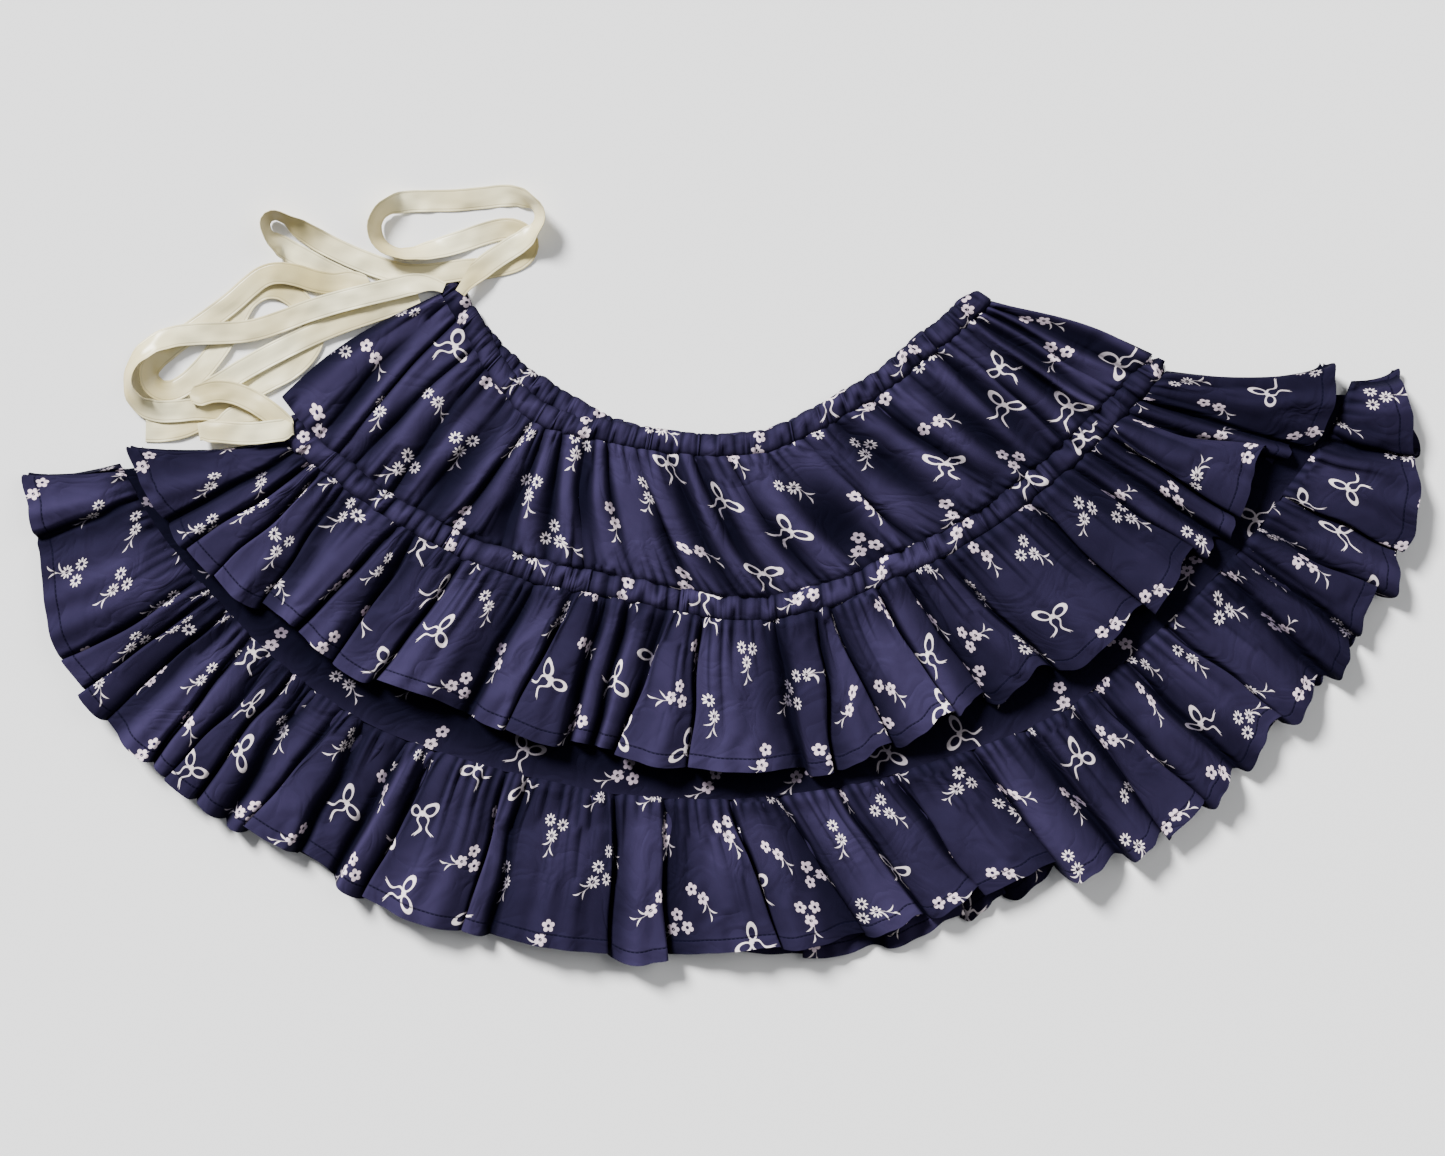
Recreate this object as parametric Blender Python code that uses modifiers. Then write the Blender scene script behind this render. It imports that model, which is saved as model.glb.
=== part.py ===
"""Two-tier ruffled mini skirt, opened out flat as a fan.

The cloth lies on the ground plane in layers, back pieces below and front pieces above.
All panels are laid out around one fan centre above the waist: a place on the skirt is an
angle from straight down, a distance from the fan centre, and a height off the ground.
Angles are in degrees. Distances along the layout are in layout units, heights in metres.
"""

from collections import namedtuple
from math import cos, pi, radians, sin

import bmesh
import bpy
from mathutils import Matrix, Vector

# Driving dimensions
UNIT = 0.00068
CLOTH_WALL = 0.001
SEAM_GAP = 0.0005
BACK_SEAM_GAP = 0.0008
WAIST_CASING_DEPTH = 0.0156
MIDDLE_CASING_DEPTH = 0.0170
RIBBON_WIDTH = 0.015
RIBBON_WALL = 0.001
RIBBON_MOUTH_SHARE = 0.5
RIBBON_MOUTH_LENGTH = 0.025

# Layout grid: the skirt's plan centre, and the fan centre that every spoke runs from
PLAN_CENTRE = (725.267, 622.435)
FAN_CENTRE = (724.0, 100.0)

# Heights of the undersides of the layers where they lie flat
BACK_LOWER_PANEL_BASE = 0.0031
FRONT_LOWER_PANEL_BASE = 0.0045
FRONT_WAIST_BASE = 0.0033
FRONT_MIDDLE_BASE = 0.0059
FRONT_HEM_BASE = 0.0046
FRONT_EDGE_BASE = 0.0016
BACK_FOLD_HEIGHT = 0.0014
BACK_HEM_FOLD_HEIGHT = 0.0026
CASING_EDGE_WALL = 0.0014
CASING_CROWN_WALL = 0.0019
RUCHE_HEIGHT = 0.0007

# How the folds swell between the seams and the hems: the share of their height that they have
# at the top seam, and the power that the rest grows by
YOKE_SEAM_SWELL = 0.16
UPPER_SEAM_SWELL = 0.14
LOWER_SEAM_SWELL = 0.10
YOKE_SWELL_POWER = 0.8
UPPER_SWELL_POWER = 0.8
LOWER_SWELL_POWER = 0.7
REACH_POWER = 3
HEM_DROP_RATE = 1.6
SIDE_DROP_RATE = 30.0

# How far the lower panels start below the middle casing's top edge, and how far the back
# upper ruffle's hem stays above the front one, in layout units
LOWER_PANEL_TUCK = 6.0
UPPER_BACK_HEM_RISE = 4.0

# Distances of the rings from the fan centre, one row for each spoke section
Section = namedtuple("Section", "angle waist waist_back middle upper_hem low_seam hem hem_back")
SECTIONS = [
    Section(-62, 322, 322, 534, 690, 706, 786, 784),
    Section(-58, 322, 322, 531, 694, 706, 812, 806),
    Section(-55, 322, 322, 530, 697, 708, 830, 824),
    Section(-50, 325, 324, 528, 698, 711, 864, 856),
    Section(-45, 331, 327, 518, 694, 712, 872, 862),
    Section(-40, 340, 330, 514, 683, 716, 875, 862),
    Section(-35, 348, 331, 508, 681, 718, 874, 866),
    Section(-30, 352, 331, 504, 677, 718, 866, 862),
    Section(-25, 347, 333, 498, 668, 713, 872, 858),
    Section(-20, 341, 336, 493, 666, 708, 874, 862),
    Section(-15, 338, 337, 487, 664, 704, 866, 858),
    Section(-10, 336, 336, 486, 661, 703, 860, 852),
    Section(-5, 334, 334, 490, 667, 701, 858, 850),
    Section(0, 335, 334, 496, 669, 700, 849, 848),
    Section(5, 334, 333, 497, 673, 698, 849, 859),
    Section(10, 330, 329, 494, 673, 697, 845, 861),
    Section(15, 323, 322, 489, 665, 695, 838, 855),
    Section(20, 317, 316, 483, 657, 695, 828, 846),
    Section(25, 313, 312, 482, 655, 698, 846, 840),
    Section(30, 311, 310, 482, 657, 698, 856, 846),
    Section(35, 307, 306, 481, 663, 690, 850, 842),
    Section(40, 306, 305, 480, 661, 686, 838, 830),
    Section(45, 308, 307, 481, 657, 684, 836, 828),
    Section(50, 311, 310, 483, 661, 684, 826, 820),
    Section(55, 316, 315, 489, 652, 684, 818, 812),
    Section(58, 320, 319, 494, 662, 686, 800, 796),
    Section(62, 322, 321, 500, 676, 690, 786, 782),
    Section(66, 324, 323, 500, 668, 688, 744, 742),
    Section(68, 324, 323, 500, 668, 686, 727, 725),
]

# Fold tables: each row starts at a valley, whose angle is given at the piece's top and at its
# bottom edge. rise is the crest's height in millimetres, and reach moves the bottom edge of
# the fold out in layout units. The last row is the far edge of the piece.
Fold = namedtuple("Fold", "top bottom rise reach")
UPPER_PANEL_FOLDS = [
    Fold(-55.6, -56.0, 4, 0),
    Fold(-53.6, -50.0, 5, 0),
    Fold(-50.6, -47.3, 4, 0),
    Fold(-45.2, -45.2, 5, 0),
    Fold(-41.5, -40.2, 4, 0),
    Fold(-36.0, -37.0, 5, 0),
    Fold(-30.8, -32.5, 4, 0),
    Fold(-28.5, -26.5, 5, 0),
    Fold(-25.8, -21.0, 5, 0),
    Fold(-22.4, -16.5, 5, 0),
    Fold(-18.8, -10.5, 5, 0),
    Fold(-14.0, -3.5, 5, 0),
    Fold(-9.0, 1.8, 5, 0),
    Fold(-5.0, 5.5, 5, 0),
    Fold(0.6, 11.5, 6, 0),
    Fold(7.0, 16.5, 5, 0),
    Fold(13.0, 23.5, 5, 0),
    Fold(19.0, 30.0, 5, 0),
    Fold(26.0, 36.0, 5, 0),
    Fold(34.0, 39.5, 4, 0),
    Fold(39.8, 41.8, 5, 0),
    Fold(43.0, 44.8, 4, 0),
    Fold(46.6, 48.5, 6, 0),
    Fold(48.8, 51.2, 4, 0),
    Fold(50.6, 53.4, 4, 0),
    Fold(51.9, 56.0, 4, 0),
    Fold(53.0, 59.2, 0, 0),
]
UPPER_RUFFLE_FOLDS = [
    Fold(-52.3, -59.2, 4, 0),
    Fold(-50.5, -52.7, 7, 2),
    Fold(-48.6, -49.4, 6, 0),
    Fold(-47.3, -46.4, 6, 2),
    Fold(-44.4, -42.1, 8, -6),
    Fold(-37.3, -38.8, 9, 0),
    Fold(-35.2, -34.1, 7, 5),
    Fold(-29.5, -31.0, 10, -6),
    Fold(-21.4, -22.6, 7, 0),
    Fold(-17.0, -18.6, 8, 2),
    Fold(-13.4, -13.6, 6, -6),
    Fold(-10.6, -11.5, 6, -4),
    Fold(-6.4, -9.0, 9, 2),
    Fold(-2.4, -2.8, 10, 0),
    Fold(5.6, 6.9, 6, 6),
    Fold(10.3, 8.9, 6, 2),
    Fold(12.0, 14.3, 9, 0),
    Fold(17.3, 20.3, 6, -6),
    Fold(20.8, 23.4, 7, 0),
    Fold(25.5, 30.0, 10, 0),
    Fold(37.0, 40.4, 8, 0),
    Fold(43.3, 45.8, 5, 2),
    Fold(46.0, 48.4, 6, 2),
    Fold(48.5, 51.3, 9, -6),
    Fold(52.0, 56.8, 5, 5),
    Fold(54.0, 58.6, 6, 4),
    Fold(58.4, 66.2, 0, 0),
]
LOWER_RUFFLE_FOLDS = [
    Fold(-58.9, -61.3, 6, 0),
    Fold(-55.5, -57.4, 5, 0),
    Fold(-47.6, -49.2, 6, -4),
    Fold(-45.9, -46.9, 7, 6),
    Fold(-44.2, -44.6, 7, 4),
    Fold(-41.3, -40.7, 6, 0),
    Fold(-38.8, -39.0, 6, 2),
    Fold(-37.0, -37.0, 6, 2),
    Fold(-35.0, -34.7, 4, 4),
    Fold(-32.0, -33.0, 8, -2),
    Fold(-30.0, -29.5, 4, -8),
    Fold(-26.2, -26.6, 7, 4),
    Fold(-23.9, -24.0, 10, 0),
    Fold(-17.9, -17.3, 5, 0),
    Fold(-16.2, -15.7, 9, 0),
    Fold(-9.0, -8.0, 8, 8),
    Fold(-5.0, -3.9, 8, 0),
    Fold(0.6, 3.6, 7, 0),
    Fold(4.4, 9.4, 7, 0),
    Fold(9.4, 13.9, 7, 0),
    Fold(13.8, 18.6, 6, 0),
    Fold(20.8, 23.4, 9, 6),
    Fold(25.6, 27.8, 7, 2),
    Fold(29.6, 31.3, 6, 0),
    Fold(32.0, 34.0, 8, 2),
    Fold(35.4, 37.5, 6, 0),
    Fold(40.0, 41.8, 6, 0),
    Fold(46.2, 46.2, 7, 6),
    Fold(48.6, 49.4, 6, -6),
    Fold(51.4, 52.8, 6, 4),
    Fold(54.3, 56.4, 8, 4),
    Fold(60.3, 63.2, 7, 0),
    Fold(65.8, 68.0, 0, 0),
]

# Ends of the pieces that have no fold table of their own, at their top and bottom edges
WAIST_CASING_ENDS = (-55.4, 51.2)
MIDDLE_CASING_ENDS = (-53.2, 58.6)
LOWER_PANEL_TOP_ENDS = (-52.0, 57.5)
LOWER_PANEL_BOTTOM_ENDS = (-58.4, 64.6)
YOKE_SIDE_BULGE = 1.4
YOKE_BULGE_SPREAD = 6.0

# Ribbon routes on the layout grid: place, height of the ribbon's lower edge in millimetres,
# and how far it leans over in degrees, with its left edge down where the lean is positive.
# Two rows at one place are a bend, where the ribbon turns back over or under itself.
Route = namedtuple("Route", "across down height lean")
LEFT_TAIL = [
    Route(444.7, 288.2, 4.4, 0),
    Route(436.0, 285.0, 4.5, 0),
    Route(424.0, 283.5, 4.8, 0),
    Route(410.0, 285.5, 5.2, 0),
    Route(394.0, 289.5, 5.8, 0),
    Route(370.0, 295.0, 5.8, 0),
    Route(340.0, 302.5, 5.6, 0),
    Route(310.0, 311.5, 5.0, 0),
    Route(282.0, 322.0, 4.4, 0),
    Route(254.0, 330.5, 4.2, 0),
    Route(225.0, 333.5, 4.2, 0),
    Route(196.0, 334.5, 4.2, 0),
    Route(170.0, 338.5, 4.0, -6),
    Route(149.0, 349.0, 3.2, -20),
    Route(134.0, 366.0, 2.2, -32),
    Route(130.0, 385.0, 2.0, -34),
    Route(137.0, 401.0, 2.0, -26),
    Route(153.0, 410.5, 2.2, -8),
    Route(174.0, 411.5, 2.4, 0),
    Route(196.0, 409.5, 2.4, 0),
    Route(218.0, 410.5, 2.4, 0),
    Route(240.0, 412.5, 2.4, 0),
    Route(262.0, 415.5, 2.4, 0),
    Route(262.0, 415.5, 4.2, 0),
    Route(247.5, 413.5, 4.3, 0),
    Route(234.0, 418.5, 4.4, 0),
    Route(222.0, 427.0, 4.5, 0),
    Route(206.0, 428.0, 4.6, 0),
    Route(206.0, 428.0, 9.4, 0),
    Route(222.0, 427.0, 9.8, 0),
    Route(236.0, 434.0, 10.4, 0),
    Route(253.0, 437.0, 11.4, 0),
    Route(270.0, 431.0, 12.2, 0),
    Route(288.0, 427.0, 12.2, 0),
    Route(288.0, 427.0, 10.2, 0),
    Route(272.0, 430.5, 9.9, 0),
    Route(260.0, 421.0, 9.6, 0),
    Route(249.0, 405.0, 8.8, 0),
    Route(234.0, 388.0, 8.2, 0),
    Route(217.0, 386.5, 7.6, 0),
    Route(193.5, 399.0, 6.2, 0),
    Route(193.5, 399.0, 4.4, 0),
    Route(208.0, 391.5, 4.2, 0),
    Route(226.0, 381.5, 3.8, 0),
    Route(246.0, 369.0, 3.2, 0),
    Route(276.0, 352.5, 2.6, 0),
    Route(306.0, 338.0, 2.6, 0),
    Route(334.0, 326.0, 2.6, 0),
    Route(362.0, 316.0, 2.4, 0),
    Route(388.0, 307.0, 2.4, 0),
    Route(404.0, 302.0, 2.4, 0),
]
RIGHT_TAIL = [
    Route(461.0, 294.0, 6.8, 0),
    Route(467.0, 286.0, 6.8, 0),
    Route(476.0, 275.5, 5.6, 0),
    Route(486.0, 266.0, 4.2, 0),
    Route(498.0, 257.0, 3.2, 0),
    Route(512.0, 248.0, 2.8, 0),
    Route(526.0, 239.0, 2.8, 12),
    Route(537.0, 228.0, 2.6, 34),
    Route(540.5, 216.0, 2.4, 44),
    Route(534.5, 205.0, 2.0, 36),
    Route(521.0, 198.0, 1.0, 18),
    Route(504.0, 196.0, 0.7, 4),
    Route(484.0, 198.0, 0.7, 0),
    Route(457.0, 200.5, 0.7, 0),
    Route(430.0, 201.0, 0.7, 0),
    Route(405.0, 202.5, 0.9, 8),
    Route(388.0, 208.0, 1.1, 30),
    Route(377.5, 219.5, 1.0, 44),
    Route(376.0, 233.0, 1.0, 46),
    Route(382.0, 245.5, 1.0, 40),
    Route(395.0, 253.0, 1.0, 34),
    Route(411.0, 254.5, 1.0, 26),
    Route(430.0, 251.0, 0.9, 14),
    Route(457.0, 243.0, 0.7, 4),
    Route(484.0, 234.0, 0.7, 0),
    Route(502.0, 229.5, 0.7, 0),
    Route(516.0, 230.5, 0.7, 0),
    Route(526.0, 238.5, 0.7, 0),
    Route(527.0, 250.0, 0.7, 0),
    Route(518.0, 259.5, 0.7, 0),
    Route(502.0, 265.0, 0.7, 0),
    Route(484.0, 268.5, 0.8, 0),
    Route(464.0, 270.0, 1.2, 0),
    Route(444.0, 273.0, 2.2, 0),
    Route(424.0, 275.0, 2.4, 0),
    Route(399.0, 273.5, 2.4, 0),
    Route(366.0, 262.5, 2.4, 0),
    Route(332.0, 247.5, 2.4, 0),
    Route(303.0, 231.0, 1.8, 18),
    Route(286.0, 220.0, 1.2, 50),
    Route(274.5, 216.5, 1.0, 62),
    Route(267.0, 222.5, 1.0, 66),
    Route(269.0, 233.5, 1.2, 58),
    Route(277.0, 242.5, 1.2, 24),
    Route(288.0, 250.0, 0.8, 0),
    Route(302.0, 257.5, 0.8, 0),
    Route(328.0, 271.5, 0.8, 0),
    Route(350.0, 281.5, 0.8, 0),
    Route(368.0, 288.5, 0.8, 0),
    Route(368.0, 288.5, 2.6, 0),
    Route(352.0, 282.3, 2.6, 0),
    Route(334.0, 284.0, 2.5, 0),
    Route(316.0, 281.5, 2.8, 0),
    Route(298.0, 276.0, 3.6, 0),
    Route(280.0, 273.5, 3.8, 0),
    Route(264.0, 277.0, 3.2, 0),
    Route(250.0, 287.0, 2.5, 0),
    Route(232.0, 303.0, 2.5, 0),
    Route(212.0, 318.0, 2.4, 0),
    Route(190.0, 333.5, 2.2, 0),
    Route(171.0, 347.5, 1.4, 0),
    Route(156.0, 361.0, 0.8, -14),
    Route(150.0, 375.0, 0.7, -20),
    Route(156.0, 387.5, 0.7, -10),
    Route(169.0, 391.5, 0.7, 0),
    Route(184.0, 385.5, 0.7, 0),
    Route(199.0, 372.5, 0.7, 0),
    Route(214.0, 355.0, 0.7, 0),
    Route(226.5, 336.5, 0.7, 0),
    Route(236.5, 318.0, 0.7, 0),
    Route(246.0, 301.5, 0.7, 0),
    Route(259.0, 291.0, 0.7, 0),
    Route(275.0, 288.0, 0.7, 0),
    Route(290.0, 293.5, 0.7, 0),
    Route(303.0, 305.0, 0.7, 0),
    Route(312.5, 320.0, 0.7, 0),
    Route(314.0, 337.0, 0.7, 0),
    Route(306.0, 354.0, 0.7, 0),
    Route(290.0, 369.0, 0.7, 0),
    Route(268.0, 381.0, 0.7, 0),
    Route(246.0, 392.0, 0.7, 0),
    Route(225.0, 404.0, 0.7, 0),
    Route(204.0, 417.0, 0.7, 0),
    Route(184.0, 427.0, 0.7, 0),
    Route(163.0, 431.0, 0.7, 0),
    Route(146.0, 431.0, 0.7, 0),
]

# How finely each kind of piece is divided
FLUTE_SHAPE = [(0.0, 0.0), (0.24, 0.78), (0.5, 1.0), (0.8, 0.6)]
FLAT_FOLD_SHAPE = [(0.0, 0.0), (0.45, 0.0), (0.72, 1.0)]
RUCHE_SHAPE = [(0.0, 0.0), (0.35, 1.0), (0.7, 0.8)]
YOKE_ROWS = [0.0, 0.12, 0.38, 0.66, 0.9, 1.0]
RUFFLE_ROWS = [0.0, 0.14, 0.42, 0.74, 1.0]
BACK_ROWS = [0.0, 0.15, 0.5, 1.0]
PANEL_ROWS = [0.0, 0.5, 1.0]
CASING_ROWS = [0.0, 0.5, 1.0]
PANEL_COLUMNS = 36
RIBBON_STEP = 0.010
BEND_REACH = 0.0001
BEND_TURNS = (pi / 4.0, pi / 2.0, 3.0 * pi / 4.0)

# Number of folds and ruches on the pieces whose folds are evenly spaced
BACK_YOKE_FOLDS = 12
BACK_UPPER_FOLDS = 14
BACK_LOWER_FOLDS = 16
WAIST_RUCHES_FRONT = 22
WAIST_RUCHES_BACK = 12
MIDDLE_RUCHES_FRONT = 26
MIDDLE_RUCHES_BACK = 14

NAVY = (0.026, 0.028, 0.088, 1.0)
IVORY = (0.80, 0.77, 0.65, 1.0)


def clear_scene():
    """Remove every object that the file starts with."""
    for old in list(bpy.data.objects):
        bpy.data.objects.remove(old, do_unlink=True)


def new_material(name, colour, roughness):
    """Return a Principled material with a plain colour."""
    material = bpy.data.materials.new(name)
    material.use_nodes = True
    shader = material.node_tree.nodes["Principled BSDF"]
    shader.inputs["Base Color"].default_value = colour
    shader.inputs["Roughness"].default_value = roughness
    shader.inputs["Metallic"].default_value = 0.0
    return material


def mix(start, end, share):
    """Return the value that lies the given share of the way from start to end."""
    return start + (end - start) * share


def smooth_step(share):
    """Ease a share between 0 and 1."""
    share = min(max(share, 0.0), 1.0)
    return share * share * (3.0 - 2.0 * share)


def ring(name, angle):
    """Return the distance of a named ring from the fan centre at an angle, on a smooth curve."""
    last = len(SECTIONS) - 1
    angle = min(max(angle, SECTIONS[0].angle), SECTIONS[last].angle)
    low = max(i for i in range(last) if SECTIONS[i].angle <= angle)
    here, there = SECTIONS[low], SECTIONS[low + 1]
    before, after = SECTIONS[max(low - 1, 0)], SECTIONS[min(low + 2, last)]
    span = there.angle - here.angle
    share = (angle - here.angle) / span
    slope_here = (getattr(there, name) - getattr(before, name)) / (there.angle - before.angle) * span
    slope_there = (getattr(after, name) - getattr(here, name)) / (after.angle - here.angle) * span
    squared, cubed = share * share, share ** 3
    return (
        (2 * cubed - 3 * squared + 1) * getattr(here, name)
        + (cubed - 2 * squared + share) * slope_here
        + (3 * squared - 2 * cubed) * getattr(there, name)
        + (cubed - squared) * slope_there
    )


def fan_point(angle, distance, height):
    """Turn a fan angle in degrees, a distance in layout units and a height into a point."""
    turn = radians(angle)
    across = FAN_CENTRE[0] + distance * sin(turn) - PLAN_CENTRE[0]
    down = FAN_CENTRE[1] + distance * cos(turn) - PLAN_CENTRE[1]
    return Vector((across * UNIT, -down * UNIT, height))


def fold_edge(folds, column, share, shape):
    """Return the fold, angle and profile of a grid column, at a share of the way down."""
    index, step = divmod(column, len(shape))
    if index >= len(folds) - 1:
        end = folds[-1]
        return folds[-2], mix(end.top, end.bottom, share), 0.0
    here, there = folds[index], folds[index + 1]
    across, profile = shape[step]
    left = mix(here.top, here.bottom, share)
    right = mix(there.top, there.bottom, share)
    return here, mix(left, right, across), profile


def grid_object(name, collection, material, columns, rows, place):
    """Make a grid of columns by rows, put each corner at place(column, row), and link it.

    Rows count down from the waist side to the hem side, so that the faces look up.
    """
    shape = bmesh.new()
    bmesh.ops.create_grid(shape, x_segments=columns, y_segments=rows, size=0.5)
    for corner in shape.verts:
        column = round((corner.co.x + 0.5) * columns)
        row = round((0.5 - corner.co.y) * rows)
        corner.co = place(column, row)
    mesh = bpy.data.meshes.new(name)
    shape.to_mesh(mesh)
    shape.free()
    piece = bpy.data.objects.new(name, mesh)
    mesh.materials.append(material)
    collection.objects.link(piece)
    return piece


def thicken(piece, wall, offset, even):
    """Give an open sheet its wall, measured square to its faces where even is true."""
    solid = piece.modifiers.new("wall", "SOLIDIFY")
    solid.thickness = wall
    solid.offset = offset
    solid.use_even_offset = even
    solid.use_quality_normals = True
    return piece


def even_folds(count, top_ends, bottom_ends, rise):
    """Return a fold table with equal folds between the ends of a piece."""
    folds = []
    for index in range(count + 1):
        share = index / count
        folds.append(Fold(mix(*top_ends, share), mix(*bottom_ends, share), rise, 0))
    return folds


def side_bulge(angle, share, ends):
    """Return how far a place swings out, most at the sides and halfway down, as -1 to 1."""
    from_left = smooth_step(1.0 - (angle - ends[0]) / YOKE_BULGE_SPREAD)
    from_right = smooth_step(1.0 - (ends[1] - angle) / YOKE_BULGE_SPREAD)
    return sin(pi * share) * (from_right - from_left)


def gathered_sheet(name, collection, material, folds, shape, rows, top, bottom, height, bulge=0.0):
    """Make a gathered cloth wall between two edges.

    top and bottom give the edges' distances at an angle, and height gives the underside at a
    fold, a profile, a share of the way down and a share of the way across. bulge is how many
    degrees the sides swing out halfway down.
    """
    columns = (len(folds) - 1) * len(shape)

    def place(column, row):
        share = rows[row]
        fold, angle, profile = fold_edge(folds, column, share, shape)
        ends = (mix(folds[0].top, folds[0].bottom, share), mix(folds[-1].top, folds[-1].bottom, share))
        distance = mix(top(angle), bottom(angle), share)
        distance += fold.reach * profile * share ** REACH_POWER
        angle += bulge * side_bulge(angle, share, ends)
        return fan_point(angle, distance, height(fold, profile, share, column / columns))

    piece = grid_object(name, collection, material, columns, len(rows) - 1, place)
    return thicken(piece, CLOTH_WALL, 1.0, True)


def casing(name, collection, material, ends, ruches, edge, depth, base):
    """Make a ruched channel: a flat underside, and a crowned top with a ridge for each ruche."""
    columns = ruches * len(RUCHE_SHAPE)
    rows = len(CASING_ROWS) - 1

    def angle_at(column):
        index, step = divmod(column, len(RUCHE_SHAPE))
        return mix(*ends, min((index + RUCHE_SHAPE[step][0]) / ruches, 1.0))

    def under(column, row):
        angle = angle_at(column)
        return fan_point(angle, edge(angle) + depth * CASING_ROWS[row], base)

    piece = grid_object(name, collection, material, columns, rows, under)
    shape = bmesh.new()
    shape.from_mesh(piece.data)
    raised = bmesh.ops.extrude_face_region(shape, geom=shape.faces[:])
    top = [corner for corner in raised["geom"] if isinstance(corner, bmesh.types.BMVert)]
    plan_centre = fan_point(0.0, 0.0, 0.0)
    for corner in top:
        arm = corner.co - plan_centre
        angle = arm.xy.angle_signed(Vector((0.0, -1.0))) / pi * 180.0
        column = min(range(columns + 1), key=lambda i: abs(angle_at(i) - angle))
        across = (arm.xy.length / UNIT - edge(angle)) / depth
        profile = RUCHE_SHAPE[column % len(RUCHE_SHAPE)][1]
        crown = sin(pi * min(max(across, 0.0), 1.0))
        wall = mix(CASING_EDGE_WALL, CASING_CROWN_WALL, crown)
        corner.co.z = base + wall + RUCHE_HEIGHT * profile
    bmesh.ops.recalc_face_normals(shape, faces=shape.faces[:])
    shape.to_mesh(piece.data)
    shape.free()
    return piece


def round_bends(points):
    """Join two stops at one place with a half circle, where the ribbon turns back on itself."""
    rounded = [points[0]]
    for index in range(1, len(points)):
        here, there = points[index - 1], points[index]
        if (there.xy - here.xy).length < BEND_REACH:
            heading = (here.xy - points[index - 2].xy).normalized()
            half_rise = (there.z - here.z) / 2.0
            for turn in BEND_TURNS:
                bend = (here + there) / 2.0
                bend.xy += heading * abs(half_rise) * sin(turn)
                bend.z -= half_rise * cos(turn)
                rounded.append(bend)
        rounded.append(there)
    return rounded


def route_frames(route):
    """Return points along a smooth curve through a route, with the lean at each."""
    points = [
        Vector(
            (
                (stop.across - PLAN_CENTRE[0]) * UNIT,
                (PLAN_CENTRE[1] - stop.down) * UNIT,
                stop.height / 1000.0 + RIBBON_WIDTH / 2.0 * abs(sin(radians(stop.lean))),
                stop.lean,
            )
        )
        for stop in route
    ]
    points = round_bends(points)
    last = len(points) - 1
    frames = []
    for index in range(last):
        here, there = points[index], points[index + 1]
        before = points[max(index - 1, 0)]
        after = points[min(index + 2, last)]
        steps = max(1, round((there.xyz - here.xyz).length / RIBBON_STEP))
        for step in range(steps):
            share = step / steps
            curve = (
                2.0 * here
                + (there - before) * share
                + (2.0 * before - 5.0 * here + 4.0 * there - after) * share ** 2
                + (3.0 * here - before - 3.0 * there + after) * share ** 3
            )
            frames.append(curve * 0.5)
    frames.append(points[last])
    return frames


def ribbon(name, collection, material, route):
    """Make a flat ribbon along a route, kept from twisting and leant up where it turns."""
    frames = route_frames(route)
    sides = []
    run = 0.0
    flat = Vector((0.0, 1.0, 0.0))
    for index, frame in enumerate(frames):
        ahead = frames[min(index + 1, len(frames) - 1)].xyz
        behind = frames[max(index - 1, 0)].xyz
        along = (ahead - behind).normalized()
        if index == 0:
            flat = Vector((-along.y, along.x, 0.0))
        flat = (flat - along * flat.dot(along)).normalized()
        if abs(along.z) < 0.5:
            level = Vector((-along.y, along.x, 0.0)).normalized()
            flat = level if level.dot(flat) > 0.0 else -level
        handed = 1.0 if flat.dot(Vector((-along.y, along.x, 0.0))) > 0.0 else -1.0
        width = RIBBON_WIDTH * mix(RIBBON_MOUTH_SHARE, 1.0, smooth_step(run / RIBBON_MOUTH_LENGTH))
        sides.append(Matrix.Rotation(radians(-frame.w * handed), 3, along) @ flat * width)
        run += (ahead - frame.xyz).length

    def place(column, row):
        return frames[column].xyz + sides[column] * (0.5 - row)

    piece = grid_object(name, collection, material, len(frames) - 1, 1, place)
    return thicken(piece, RIBBON_WALL, 0.0, False)


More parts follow.
